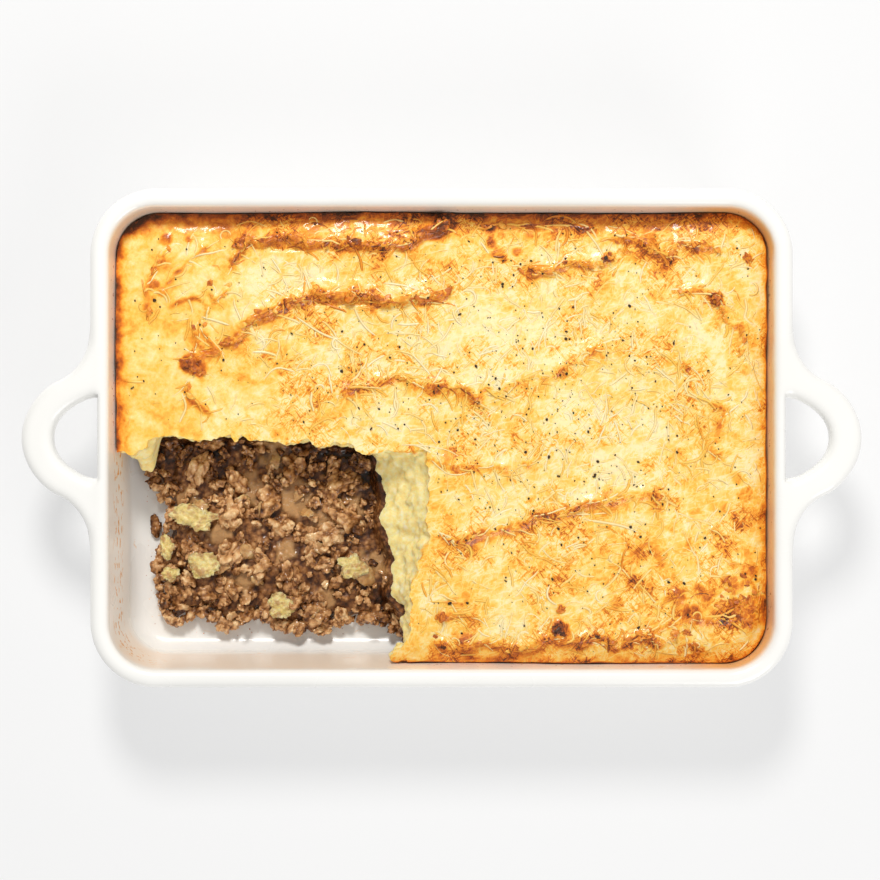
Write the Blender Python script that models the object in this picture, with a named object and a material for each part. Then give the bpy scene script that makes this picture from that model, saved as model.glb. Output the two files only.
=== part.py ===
"""Shepherd's pie in its own rectangular white ceramic baking dish with two loop handles.

Metres, +Z up. The dish stands on Z = 0 and the origin is under its centre. X runs from handle to
handle and Y across the dish. One portion, at the -X -Y corner, has been taken out with a spoon,
which leaves a sloping cut through the mashed potato, some of the mince and the bare dish floor.
"""

import math

import bpy
import bmesh
import numpy as np

# Dish, over its rim.
RIM_LENGTH = 0.342
RIM_WIDTH = 0.243
RIM_CORNER = 0.032
DISH_HEIGHT = 0.062
RIM_THICKNESS = 0.009
RIM_DEPTH = 0.010
RIM_OUTER_EDGE = 0.0043
RIM_INNER_EDGE = 0.0037
RIM_UNDERSIDE = 0.0018
RIM_OVERHANG = 0.0040
WALL_DRAFT = math.radians(5.0)
FLOOR_THICKNESS = 0.007
FLOOR_FILLET = 0.009
FOOT_FILLET = 0.005
CORNER_STEPS = 8
LINE_STEP = 0.005
CUTTER_MARGIN = 0.02

# Handles: each is a loop that stands out of the rim, with a D-shaped finger hole. The curves are
# Bezier points of one half, as (distance out of the rim, place along Y), from the rim to the nose.
HANDLE_FLARE = ((-0.0035, 0.0660), (-0.0005, 0.0462), (0.0030, 0.0345), (0.0143, 0.0286))
HANDLE_NOSE = ((0.0143, 0.0286), (0.0230, 0.0255), (0.0336, 0.0140), (0.0336, 0.0000))
HOLE_EDGE = ((-RIM_OVERHANG, 0.0216), (0.0080, 0.0173), (0.0186, 0.0110), (0.0186, 0.0000))
FLARE_SHARE = 0.4
HANDLE_THICKNESS = 0.014
HANDLE_BELOW_RIM = 0.0003
HANDLE_EDGE = 0.0045
HANDLE_BURIED = 0.0062
BURIED_SPREAD = 0.003
HANDLE_STEPS = 11
NOTCH_STEPS = 8
NOTCH_MARGIN = 0.004

# Food, as heights over the table. Touching pieces keep GAP between them.
GAP = 0.0003
MINCE_TOP = 0.0270
MASH_TOP = 0.0490
MASH_SHRINKAGE = 0.0008
MASH_CELL = 0.0066
EDGE_ROLL = 0.0035
EDGE_ROLL_WIDTH = 0.012

# Spoon strokes in the mash: each is a crest, as points in plan, with its height and half width.
STROKES = (
    (0.0036, 0.0052, ((-0.103, 0.086), (-0.099, 0.097), (-0.074, 0.099), (-0.055, 0.095),
                      (-0.030, 0.095), (-0.011, 0.101), (0.003, 0.107))),
    (0.0038, 0.0055, ((-0.105, 0.046), (-0.094, 0.056), (-0.074, 0.064), (-0.047, 0.072),
                      (-0.020, 0.068), (-0.001, 0.072))),
    (0.0030, 0.0055, ((-0.050, 0.011), (-0.044, 0.026), (-0.020, 0.030), (0.019, 0.025),
                      (0.058, 0.033), (0.078, 0.046))),
    (0.0022, 0.0055, ((-0.008, -0.007), (0.024, -0.013), (0.048, -0.012))),
    (0.0028, 0.0055, ((-0.001, -0.050), (0.021, -0.041), (0.058, -0.035), (0.107, -0.026))),
    (0.0030, 0.0055, ((0.007, -0.101), (0.058, -0.099), (0.107, -0.099), (0.122, -0.104))),
    (0.0030, 0.0045, ((-0.136, 0.095), (-0.144, 0.086), (-0.143, 0.075), (-0.138, 0.073))),
    (0.0024, 0.0045, ((-0.136, 0.080), (-0.116, 0.095))),
    (0.0024, 0.0050, ((0.041, 0.083), (0.081, 0.088))),
    (0.0026, 0.0050, ((0.137, 0.070), (0.145, 0.053), (0.147, 0.041))),
    (0.0026, 0.0050, ((0.122, 0.036), (0.131, 0.018), (0.128, -0.006))),
)
# Lumps on the mash: place in plan, height and half width.
LUMPS = (
    ((-0.1235, 0.0385), 0.0035, 0.007),
    ((-0.1180, 0.0520), 0.0024, 0.006),
    ((0.0565, -0.0920), 0.0034, 0.005),
    ((0.1440, -0.0800), 0.0030, 0.014),
    ((0.1490, -0.0230), 0.0024, 0.006),
)
SWELLS = ((0.0009, 38.0, 21.0, 0.4), (0.0008, -23.0, 47.0, 1.9), (0.0006, 66.0, 58.0, 4.1))

# The cut through the mash, in plan: one line where it meets the mince, one at the top crust.
CUT_FOOT = ((-0.185, 0.001), (-0.150, 0.001), (-0.120, 0.002), (-0.085, 0.001), (-0.055, -0.002),
            (-0.040, -0.004), (-0.0345, -0.010), (-0.0315, -0.030), (-0.0275, -0.060),
            (-0.022, -0.085), (-0.0185, -0.097), (-0.0215, -0.104), (-0.0195, -0.108),
            (-0.011, -0.112), (-0.011, -0.135))
CUT_CREST = ((-0.185, -0.001), (-0.150, -0.001), (-0.120, -0.001), (-0.085, 0.000), (-0.055, -0.003),
             (-0.025, -0.006), (-0.008, -0.008), (-0.005, -0.020), (-0.007, -0.050), (-0.009, -0.080),
             (-0.0120, -0.097), (-0.0235, -0.104), (-0.0205, -0.1085), (-0.010, -0.112),
             (-0.010, -0.135))
CUT_LEVELS = 4
CUT_POINTS = 66
CUT_RAGGED = 0.0013
CUT_DEPTH = 0.0010
# A flap of mash hangs forward from the foot of the cut beside the dish's wall.
FLAP_X = -0.150
FLAP_HALF_WIDTH = 0.006
FLAP_REACH = 0.021
# Waves that make a torn line uneven: radians for each metre, strength and share of the phase.
RAGGED_WAVES = ((520.0, 0.62, 1.0), (873.0, 0.44, 2.1), (241.0, 0.31, 0.7))

# The mince left in the gap, in plan: its outline from the long wall round to the cut's front end.
MINCE_EDGE = ((-0.185, -0.004), (-0.158, -0.006), (-0.147, -0.014), (-0.143, -0.028), (-0.136, -0.045),
              (-0.142, -0.062), (-0.142, -0.082), (-0.133, -0.0925), (-0.102, -0.092), (-0.090, -0.095),
              (-0.070, -0.093), (-0.040, -0.092), (-0.025, -0.095), (-0.018, -0.104), (-0.018, -0.135))
MINCE_POINTS = 70
MINCE_RAGGED = 0.0018
MINCE_SLOPE = 0.0015
MINCE_STEEP_HEIGHT = 0.0030
# The bare heap: heights over the dish's floor, and the grid and clumps of its surface.
HEAP_HEIGHT = 0.0125
HEAP_EDGE_HEIGHT = 0.0060
HEAP_EDGE_WIDTH = 0.030
HEAP_CELL = 0.0048
HEAP_X = (-0.156, -0.012)
HEAP_Y = (-0.104, 0.006)
CUT_BLEND = 0.008
CLUMP_SIZE = 0.0100
CLUMP_HALF_WIDTH = 0.0045
CLUMP_HEIGHT = 0.0034
CLUMP_SEED = 11

# Scraps of mash on the mince: name, place in plan, half length, half width, thickness, turn.
SCRAPS = (
    ("mash_scrap_1", (-0.1250, -0.0412), 0.0092, 0.0052, 0.0056, -0.2),
    ("mash_scrap_2", (-0.1385, -0.0560), 0.0050, 0.0030, 0.0048, 1.3),
    ("mash_scrap_3", (-0.1205, -0.0632), 0.0058, 0.0046, 0.0052, 0.3),
    ("mash_scrap_4", (-0.1375, -0.0685), 0.0036, 0.0030, 0.0044, -0.4),
    ("mash_scrap_5", (-0.0807, -0.0845), 0.0050, 0.0046, 0.0050, 1.2),
    ("mash_scrap_6", (-0.0445, -0.0632), 0.0056, 0.0040, 0.0046, -0.5),
)
CRUMB = ("crust_crumb", (-0.1456, -0.0448), 0.0028, 0.0056, 0.0045, 0.0)
SCRAP_RINGS = 3
SCRAP_SPOKES = 14
SCRAP_FOOT_SHARE = 0.25
SCRAP_CROWN = 0.92


def clear_scene():
    for item in list(bpy.data.objects):
        bpy.data.objects.remove(item, do_unlink=True)


def principled(name, colour, roughness):
    material = bpy.data.materials.new(name)
    material.use_nodes = True
    shader = material.node_tree.nodes["Principled BSDF"]
    shader.inputs["Base Color"].default_value = (*colour, 1.0)
    shader.inputs["Roughness"].default_value = roughness
    shader.inputs["Metallic"].default_value = 0.0
    return material


def add_object(name, mesh_builder, material=None):
    """Makes one object from a filled bmesh, with its faces turned outwards."""
    bmesh.ops.recalc_face_normals(mesh_builder, faces=mesh_builder.faces)
    mesh = bpy.data.meshes.new(name)
    mesh_builder.to_mesh(mesh)
    mesh_builder.free()
    item = bpy.data.objects.new(name, mesh)
    bpy.context.scene.collection.objects.link(item)
    if material:
        mesh.materials.append(material)
    return item


def loft(name, rings, material=None):
    """A closed body through rings of equally many points, with its first and last ring filled."""
    builder = bmesh.new()
    loops = [[builder.verts.new(point) for point in ring] for ring in rings]
    for lower, upper in zip(loops, loops[1:]):
        count = len(lower)
        for index in range(count):
            after = (index + 1) % count
            builder.faces.new((lower[index], lower[after], upper[after], upper[index]))
    builder.faces.new(loops[0])
    builder.faces.new(loops[-1])
    return add_object(name, builder, material)


def boolean(item, other, operation):
    """Adds an exact Boolean with a hidden helper."""
    other.display_type = "WIRE"
    other.hide_render = True
    modifier = item.modifiers.new(operation.title(), "BOOLEAN")
    modifier.operation = operation
    modifier.solver = "EXACT"
    modifier.object = other


def smooth(item, degrees=40.0):
    item.data.shade_smooth()
    item.data.set_sharp_from_angle(angle=math.radians(degrees))


def rim_ring(inset, z):
    """The rim's plan outline, moved inwards by inset, as points at height z."""
    half_length = RIM_LENGTH / 2 - inset
    half_width = RIM_WIDTH / 2 - inset
    radius = RIM_CORNER - inset
    corners = ((1, 1, 0.0), (-1, 1, 0.5), (-1, -1, 1.0), (1, -1, 1.5))
    points = []
    for side_x, side_y, start in corners:
        centre_x = side_x * (half_length - radius)
        centre_y = side_y * (half_width - radius)
        for step in range(CORNER_STEPS + 1):
            angle = math.pi * (start + 0.5 * step / CORNER_STEPS)
            points.append((centre_x + radius * math.cos(angle), centre_y + radius * math.sin(angle), z))
    return points


def arc(centre, radius, start, end, steps):
    """Points (inset, z) on an arc, its angles in degrees from the +inset axis towards +z."""
    angles = np.radians(np.linspace(start, end, steps + 1))
    return [(centre[0] + radius * math.cos(a), centre[1] + radius * math.sin(a)) for a in angles]


def inner_wall_inset(z):
    return RIM_THICKNESS + (DISH_HEIGHT - z) * math.tan(WALL_DRAFT)


def inner_profile(clearance=0.0):
    """The hollow's side, as (inset, z) from the foot of the wall to the floor."""
    radius = FLOOR_FILLET - clearance
    centre_z = FLOOR_THICKNESS + FLOOR_FILLET
    centre = (inner_wall_inset(centre_z) + FLOOR_FILLET, centre_z)
    return arc(centre, radius, 180, 270, 4)


def dish_profile():
    """The dish's section as (inset, z), from the foot up the outside, over the rim and down inside."""
    slope = math.tan(WALL_DRAFT)
    foot_inset = RIM_OVERHANG + (DISH_HEIGHT - RIM_DEPTH - FOOT_FILLET) * slope
    foot = arc((foot_inset + FOOT_FILLET, FOOT_FILLET), FOOT_FILLET, 270, 180, 3)
    under_rim = DISH_HEIGHT - RIM_DEPTH
    rim = arc((RIM_UNDERSIDE, under_rim + RIM_UNDERSIDE), RIM_UNDERSIDE, 270, 180, 2)
    rim += arc((RIM_OUTER_EDGE, DISH_HEIGHT - RIM_OUTER_EDGE), RIM_OUTER_EDGE, 180, 90, 4)
    inner_centre = (RIM_THICKNESS - RIM_INNER_EDGE, DISH_HEIGHT - RIM_INNER_EDGE)
    rim += arc(inner_centre, RIM_INNER_EDGE, 90, 0, 4)
    return foot + [(RIM_OVERHANG, under_rim)] + rim + inner_profile()


def bezier(points, t):
    """A cubic Bezier curve's point at t."""
    weights = ((1 - t) ** 3, 3 * t * (1 - t) ** 2, 3 * t * t * (1 - t), t ** 3)
    return tuple(sum(w * p[axis] for w, p in zip(weights, points)) for axis in (0, 1))


def hole_edge(share):
    """A point on half of the finger hole's edge; share runs 0 to 1 from the rim to the nose."""
    return bezier(HOLE_EDGE, share)


def handle_edge(share):
    """A point on half of the handle's outer edge; share runs 0 to 1 from the rim to the nose."""
    if share < FLARE_SHARE:
        return bezier(HANDLE_FLARE, share / FLARE_SHARE)
    return bezier(HANDLE_NOSE, (share - FLARE_SHARE) / (1 - FLARE_SHARE))


def bar_section(inner, outer, z_top, side):
    """One rounded section of the handle's bar, from its inner to its outer edge."""
    inner = np.array(inner)
    outer = np.array(outer)
    width = float(np.linalg.norm(outer - inner))
    direction = (outer - inner) / width
    radius = HANDLE_EDGE
    z_low = z_top - HANDLE_THICKNESS
    corners = (
        (width - radius, z_low + radius, 270), (width - radius, z_top - radius, 0),
        (radius, z_top - radius, 90), (radius, z_low + radius, 180),
    )
    points = []
    for along, height, start in corners:
        for turn in (0, 45, 90):
            angle = math.radians(start + turn)
            place = inner + direction * (along + radius * math.cos(angle))
            x = side * (RIM_LENGTH / 2 + place[0])
            points.append((x, place[1], height + radius * math.sin(angle)))
    return points


def handle(name, side):
    """A loop handle on one short side, its ends buried in the rim: side is +1 or -1 along X."""
    z_top = DISH_HEIGHT - HANDLE_BELOW_RIM
    half = [((-HANDLE_BURIED, HOLE_EDGE[0][1]), (-HANDLE_BURIED, HANDLE_FLARE[0][1] + BURIED_SPREAD))]
    for share in np.linspace(0, 1, HANDLE_STEPS + 1):
        half.append((hole_edge(share), handle_edge(share)))
    other = [((i[0], -i[1]), (o[0], -o[1])) for i, o in reversed(half[:-1])]
    return loft(name, [bar_section(i, o, z_top, side) for i, o in half + other])


def notch(name, side):
    """The finger hole's prism, which takes the rim's overhang off the wall beside the hole."""
    half = [hole_edge(share) for share in np.linspace(0, 1, NOTCH_STEPS)]
    outline = half + [(out, -along) for out, along in reversed(half[:-1])]
    heights = (DISH_HEIGHT - HANDLE_THICKNESS - NOTCH_MARGIN, DISH_HEIGHT + NOTCH_MARGIN)
    rings = [[(side * (RIM_LENGTH / 2 + out), along, z) for out, along in outline] for z in heights]
    return loft(name, rings)


def make_dish():
    ceramic = principled("white_glaze", (0.90, 0.89, 0.86), 0.18)
    rings = [rim_ring(inset, z) for inset, z in dish_profile()]
    dish = loft("baking_dish", rings, ceramic)
    for side, tag in ((-1, "left"), (1, "right")):
        boolean(dish, notch("notch_" + tag, side), "DIFFERENCE")
    for side, tag in ((-1, "left"), (1, "right")):
        boolean(dish, handle("handle_" + tag, side), "UNION")
    smooth(dish)
    return dish


def hollow(name, clearance):
    """The space in the dish, smaller all round by clearance and open well above the rim."""
    high = DISH_HEIGHT + CUTTER_MARGIN
    profile = [(inner_wall_inset(high) + clearance, high)] + inner_profile(clearance)
    return loft(name, [rim_ring(inset, z) for inset, z in profile])


def curve_points(points, spacing):
    """Points at about even spacing on a Catmull-Rom curve through the given ones."""
    control = np.array([points[0], *points, points[-1]], float)
    found = []
    for index in range(len(points) - 1):
        p0, p1, p2, p3 = control[index:index + 4]
        count = max(1, round(float(np.linalg.norm(p2 - p1)) / spacing))
        for step in range(count):
            t = step / count
            found.append(0.5 * (2 * p1 + (p2 - p0) * t + (2 * p0 - 5 * p1 + 4 * p2 - p3) * t * t
                                + (3 * p1 - p0 - 3 * p2 + p3) * t ** 3))
    found.append(control[-1])
    return np.array(found)


def distance_along(line):
    """How far along an open line each of its points lies."""
    return np.concatenate(([0.0], np.cumsum(np.linalg.norm(np.diff(line, axis=0), axis=1))))


def resample(line, count):
    """The same open line as evenly spaced points."""
    travelled = distance_along(line)
    even = np.linspace(0, travelled[-1], count)
    return np.column_stack([np.interp(even, travelled, line[:, axis]) for axis in (0, 1)])


def ragged(line, amount, phase):
    """Moves the points of an open line sideways by an uneven wave."""
    run = np.gradient(line, axis=0)
    run /= np.linalg.norm(run, axis=1)[:, None]
    sideways = np.column_stack((-run[:, 1], run[:, 0]))
    travelled = distance_along(line)
    wave = sum(strength * np.sin(travelled * number + share * phase)
               for number, strength, share in RAGGED_WAVES)
    return line + sideways * (amount * wave)[:, None]


def cut_body(name, lines, heights):
    """A cutter that takes away all that lies on the served side of the stacked lines."""
    far_x = -RIM_LENGTH / 2 - CUTTER_MARGIN
    far_y = -RIM_WIDTH / 2 - CUTTER_MARGIN
    rings = []
    for line, z in zip(lines, heights):
        inside = [(max(x, far_x), max(y, far_y), z) for x, y in line]
        rings.append([*inside, (far_x, far_y, z)])
    return loft(name, rings)


def mash_cut():
    """The spoon's cut through the mash: steep at the back and sloping at the side."""
    foot = resample(curve_points(CUT_FOOT, LINE_STEP), CUT_POINTS)
    crest = resample(curve_points(CUT_CREST, LINE_STEP), CUT_POINTS)
    lines = []
    for share in np.linspace(0, 1, CUT_LEVELS):
        line = ragged(foot * (1 - share) + crest * share, CUT_RAGGED, 1.3 + 5.1 * share)
        near_flap = np.exp(-(((line[:, 0] - FLAP_X) / FLAP_HALF_WIDTH) ** 2))
        line[:, 1] -= FLAP_REACH * near_flap * (1 - share) ** 1.5
        lines.append(line)
    heights = np.linspace(MINCE_TOP - CUT_DEPTH, MASH_TOP, CUT_LEVELS)
    return cut_body("mash_cut", [*lines, lines[-1]], [*heights, DISH_HEIGHT])


def served(x, y):
    """Which of the points x, y lie on the served side of the cut's foot."""
    line = curve_points(CUT_FOOT, LINE_STEP)
    outline = [*line, (line[-1][0], line[-1][1]), (line[0][0], line[-1][1])]
    odd = np.zeros(np.shape(x), bool)
    for (ax, ay), (bx, by) in zip(outline, outline[1:] + outline[:1]):
        if ay != by:
            crosses = ((ay > y) != (by > y)) & (x < (bx - ax) * (y - ay) / (by - ay) + ax)
            odd ^= crosses
    return odd


def segment_distance(x, y, path):
    """Distance in plan from the points x, y to a broken line."""
    nearest = np.full(np.shape(x), 1.0)
    for (ax, ay), (bx, by) in zip(path[:-1], path[1:]):
        run_x, run_y = bx - ax, by - ay
        share = ((x - ax) * run_x + (y - ay) * run_y) / (run_x ** 2 + run_y ** 2)
        share = np.clip(share, 0, 1)
        nearest = np.minimum(nearest, np.hypot(x - ax - share * run_x, y - ay - share * run_y))
    return nearest


def wall_distance(x, y):
    """Distance in plan from the points x, y to the dish's inner wall at the mash's surface."""
    inset = inner_wall_inset(MASH_TOP)
    radius = RIM_CORNER - inset
    out_x = np.abs(x) - (RIM_LENGTH / 2 - inset - radius)
    out_y = np.abs(y) - (RIM_WIDTH / 2 - inset - radius)
    outside = np.hypot(np.maximum(out_x, 0), np.maximum(out_y, 0))
    return radius - outside - np.minimum(np.maximum(out_x, out_y), 0)


def mash_height(x, y):
    """Height of the mash's top: a swelling surface with spoon strokes, lumps and rolled edges."""
    z = np.full(np.shape(x), MASH_TOP)
    for height, wave_x, wave_y, phase in SWELLS:
        z = z + height * np.sin(wave_x * x + wave_y * y + phase)
    for height, half_width, path in STROKES:
        fine = curve_points(path, LINE_STEP)
        z = z + height * np.exp(-((segment_distance(x, y, fine) / half_width) ** 2))
    for (lump_x, lump_y), height, half_width in LUMPS:
        z = z + height * np.exp(-((x - lump_x) ** 2 + (y - lump_y) ** 2) / half_width ** 2)
    roll = np.clip(1 - wall_distance(x, y) / EDGE_ROLL_WIDTH, 0, 1.5)
    return z - EDGE_ROLL * roll ** 2


def grid_slab(name, xs, ys, top_heights, bottom, material):
    """A block whose top is a field of heights and whose bottom is flat."""
    builder = bmesh.new()
    columns = [[builder.verts.new((x, y, top_heights[i, j])) for j, y in enumerate(ys)]
               for i, x in enumerate(xs)]
    for i in range(len(xs) - 1):
        for j in range(len(ys) - 1):
            a, b = columns[i][j], columns[i + 1][j]
            c, d = columns[i + 1][j + 1], columns[i][j + 1]
            builder.faces.new((a, b, c))
            builder.faces.new((a, c, d))
    border = [column[0] for column in columns] + columns[-1][1:]
    border += [column[-1] for column in reversed(columns[:-1])] + list(reversed(columns[0][1:-1]))
    below = [builder.verts.new((v.co.x, v.co.y, bottom)) for v in border]
    for index, upper in enumerate(border):
        after = (index + 1) % len(border)
        builder.faces.new((upper, border[after], below[after], below[index]))
    builder.faces.new(below)
    return add_object(name, builder, material)


def make_mash():
    potato = principled("browned_mash", (0.80, 0.55, 0.20), 0.55)
    half_length = RIM_LENGTH / 2
    half_width = RIM_WIDTH / 2
    xs = np.linspace(-half_length, half_length, round(RIM_LENGTH / MASH_CELL) + 1)
    ys = np.linspace(-half_width, half_width, round(RIM_WIDTH / MASH_CELL) + 1)
    heights = mash_height(*np.meshgrid(xs, ys, indexing="ij"))
    mash = grid_slab("mash_topping", xs, ys, heights, MINCE_TOP + GAP, potato)
    boolean(mash, hollow("mash_hollow", MASH_SHRINKAGE), "INTERSECT")
    boolean(mash, mash_cut(), "DIFFERENCE")
    return mash


def clump_centres():
    """Middles of the mince's clumps, one in each square of a grid and set off at random."""
    random = np.random.RandomState(CLUMP_SEED)
    xs = np.arange(*HEAP_X, CLUMP_SIZE)
    ys = np.arange(*HEAP_Y, CLUMP_SIZE)
    return [(x + random.uniform(-0.4, 0.4) * CLUMP_SIZE, y + random.uniform(-0.4, 0.4) * CLUMP_SIZE,
             random.uniform(0.35, 1.0)) for x in xs for y in ys]


CLUMPS = clump_centres()


def mince_height(x, y):
    """Height of the mince: level under the mash, and a low heap of clumps where it is bare."""
    x = np.asarray(x, float)
    y = np.asarray(y, float)
    from_cut = segment_distance(x, y, curve_points(CUT_FOOT, LINE_STEP))
    from_edge = segment_distance(x, y, curve_points(MINCE_EDGE, LINE_STEP))
    rise = np.sqrt(np.clip(from_edge / HEAP_EDGE_WIDTH, 0, 1))
    clumps = np.zeros(x.shape)
    for clump_x, clump_y, size in CLUMPS:
        squared = (x - clump_x) ** 2 + (y - clump_y) ** 2
        clumps = np.maximum(clumps, size * np.exp(-squared / CLUMP_HALF_WIDTH ** 2))
    heap = HEAP_EDGE_HEIGHT + (HEAP_HEIGHT - HEAP_EDGE_HEIGHT) * rise + CLUMP_HEIGHT * clumps
    share = np.where(served(x, y), np.clip(from_cut / CUT_BLEND, 0, 1), 0.0)
    return MINCE_TOP * (1 - share) + np.minimum(FLOOR_THICKNESS + heap, MINCE_TOP) * share


def make_mince():
    meat = principled("cooked_mince", (0.20, 0.11, 0.06), 0.45)
    half_length = RIM_LENGTH / 2
    half_width = RIM_WIDTH / 2
    xs = np.concatenate(([-half_length], np.arange(*HEAP_X, HEAP_CELL), [half_length]))
    ys = np.concatenate(([-half_width], np.arange(*HEAP_Y, HEAP_CELL), [half_width]))
    heights = mince_height(*np.meshgrid(xs, ys, indexing="ij"))
    mince = grid_slab("mince_filling", xs, ys, heights, 0.0, meat)
    boolean(mince, hollow("mince_hollow", GAP), "INTERSECT")
    edge = ragged(resample(curve_points(MINCE_EDGE, LINE_STEP), MINCE_POINTS), MINCE_RAGGED, 0.9)
    lines = (edge, edge, edge - MINCE_SLOPE)
    heights = (0.0, FLOOR_THICKNESS + MINCE_STEEP_HEIGHT, DISH_HEIGHT)
    boolean(mince, cut_body("mince_cut", lines, heights), "DIFFERENCE")
    return mince


def resting_height(x, y):
    """Height on which a scrap rests: the highest mince within one grid cell, and a gap."""
    offsets = np.linspace(-HEAP_CELL, HEAP_CELL, 5)
    around = [float(mince_height(x + dx, y + dy)) for dx in offsets for dy in offsets]
    return max(around) + GAP


def lump(name, place, half_length, half_width, height, turn, base, material):
    """A lump with an uneven outline whose flat foot lies at the height base."""
    builder = bmesh.new()
    rings = []
    for ring in range(SCRAP_RINGS + 1):
        lift = math.sin(math.pi / 2 * ring / SCRAP_RINGS)
        reach = math.cos(math.pi / 2 * SCRAP_CROWN * ring / SCRAP_RINGS)
        points = []
        for spoke in range(SCRAP_SPOKES):
            angle = 2 * math.pi * spoke / SCRAP_SPOKES
            wobble = 1 + 0.16 * math.sin(3 * angle + 40 * place[0]) + 0.10 * math.sin(5 * angle + ring)
            along = half_length * reach * wobble * math.cos(angle)
            across = half_width * reach * wobble * math.sin(angle)
            x = place[0] + along * math.cos(turn) - across * math.sin(turn)
            y = place[1] + along * math.sin(turn) + across * math.cos(turn)
            rise = SCRAP_FOOT_SHARE + (1 - SCRAP_FOOT_SHARE) * lift
            points.append((x, y, base + rise * height))
        rings.append([builder.verts.new(p) for p in points])
    rings.insert(0, [builder.verts.new((v.co.x, v.co.y, base)) for v in rings[0]])
    for lower, upper in zip(rings, rings[1:]):
        for index in range(SCRAP_SPOKES):
            after = (index + 1) % SCRAP_SPOKES
            builder.faces.new((lower[index], lower[after], upper[after], upper[index]))
    builder.faces.new(rings[0])
    builder.faces.new(rings[-1])
    item = add_object(name, builder, material)
    smooth(item, 60.0)
    return item


def make_scraps():
    potato = principled("plain_mash", (0.85, 0.75, 0.42), 0.5)
    for name, place, half_length, half_width, height, turn in SCRAPS:
        level = resting_height(*place)
        for angle in np.linspace(0, 2 * math.pi, SCRAP_SPOKES, endpoint=False):
            x = place[0] + half_length * math.cos(angle)
            y = place[1] + half_length * math.sin(angle)
            level = max(level, resting_height(x, y))
        lump(name, place, half_length, half_width, height, turn, level, potato)


def make_crumb():
    crust = principled("crust_crumb", (0.35, 0.16, 0.05), 0.6)
    lump(*CRUMB, FLOOR_THICKNESS + GAP, crust)


def main():
    clear_scene()
    make_dish()
    make_mash()
    make_mince()
    make_scraps()
    make_crumb()


main()
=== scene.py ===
"""Looks of a shepherd's pie in a white ceramic baking dish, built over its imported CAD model."""
import math

import bmesh
import bpy
import numpy as np
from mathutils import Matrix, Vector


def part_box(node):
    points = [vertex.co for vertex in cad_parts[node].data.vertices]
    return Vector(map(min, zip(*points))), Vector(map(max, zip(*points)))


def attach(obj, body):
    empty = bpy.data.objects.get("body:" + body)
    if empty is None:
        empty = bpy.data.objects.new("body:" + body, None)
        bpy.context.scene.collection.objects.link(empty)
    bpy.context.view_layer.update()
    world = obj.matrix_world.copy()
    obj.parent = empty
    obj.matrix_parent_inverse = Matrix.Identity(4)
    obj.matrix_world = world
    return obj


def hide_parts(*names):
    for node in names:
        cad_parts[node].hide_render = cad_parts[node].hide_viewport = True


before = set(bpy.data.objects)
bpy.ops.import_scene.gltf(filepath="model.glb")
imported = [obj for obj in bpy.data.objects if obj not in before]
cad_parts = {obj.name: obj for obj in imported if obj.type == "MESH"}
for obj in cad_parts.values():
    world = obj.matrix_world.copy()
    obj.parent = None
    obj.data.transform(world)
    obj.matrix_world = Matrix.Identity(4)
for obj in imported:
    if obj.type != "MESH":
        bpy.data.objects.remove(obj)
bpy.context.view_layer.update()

MM = 0.001

# The dish, as the CAD model has it.
RIM_LENGTH = 0.342
RIM_WIDTH = 0.243
FAR_CORNER = (-RIM_LENGTH / 2 - 0.02, -RIM_WIDTH / 2 - 0.02)
RIM_CORNER = 0.032
DISH_HEIGHT = 0.062
RIM_THICKNESS = 0.009
RIM_DEPTH = 0.010
RIM_OUTER_EDGE = 0.0043
RIM_INNER_EDGE = 0.0037
RIM_UNDERSIDE = 0.0018
RIM_OVERHANG = 0.0040
WALL_DRAFT = math.radians(5.0)
FLOOR_THICKNESS = 0.007
FLOOR_FILLET = 0.009
FOOT_FILLET = 0.005
FAR_INSIDE = 0.3
HANDLE_ZONE = 0.016
HOLE_BLEND = 0.0015
# One half of a handle and of its gap in plan, as curves: distance out from the rim, and to the side.
HANDLE_FLARE = ((-0.0035, 0.0660), (-0.0005, 0.0462), (0.0030, 0.0345), (0.0143, 0.0286))
HANDLE_NOSE = ((0.0143, 0.0286), (0.0230, 0.0255), (0.0336, 0.0140), (0.0336, 0.0))
HOLE_EDGE = ((-RIM_OVERHANG, 0.0216), (0.0080, 0.0173), (0.0186, 0.0110), (0.0186, 0.0))
HANDLE_THICKNESS = 0.014
HANDLE_BELOW_RIM = 0.0003
HANDLE_EDGE = 0.0045
HANDLE_BURIED = 0.0062
BURIED_SPREAD = 0.003
DISH_CELL = 0.0018
DISH_MARGIN = 0.004
DISH_LOWEST = -0.00275
DISH_KEPT = 0.42
SLOPE_STEP = 0.0002

# The mash.
MINCE_TOP = 0.0270
MASH_TOP = 0.0490
MASH_CELL = 0.00086
MASH_REACH = (0.1625, 0.1130)
MASH_BELOW = MINCE_TOP + 0.0003
MASH_CLEARANCE = 0.0002
MASH_RAGGED = 0.0008
ABOVE_RIM = 0.02
HOLLOW_LEVELS = 28
HOLLOW_POINTS = 620
EDGE_ROLL = 0.0035
EDGE_ROLL_WIDTH = 0.012
# Long swells: height, waves along x and y in radians a metre, phase.
SWELLS = ((0.0009, 38, 21, 0.4), (0.0008, -23, 47, 1.9), (0.0006, 66, 58, 4.1))

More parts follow.
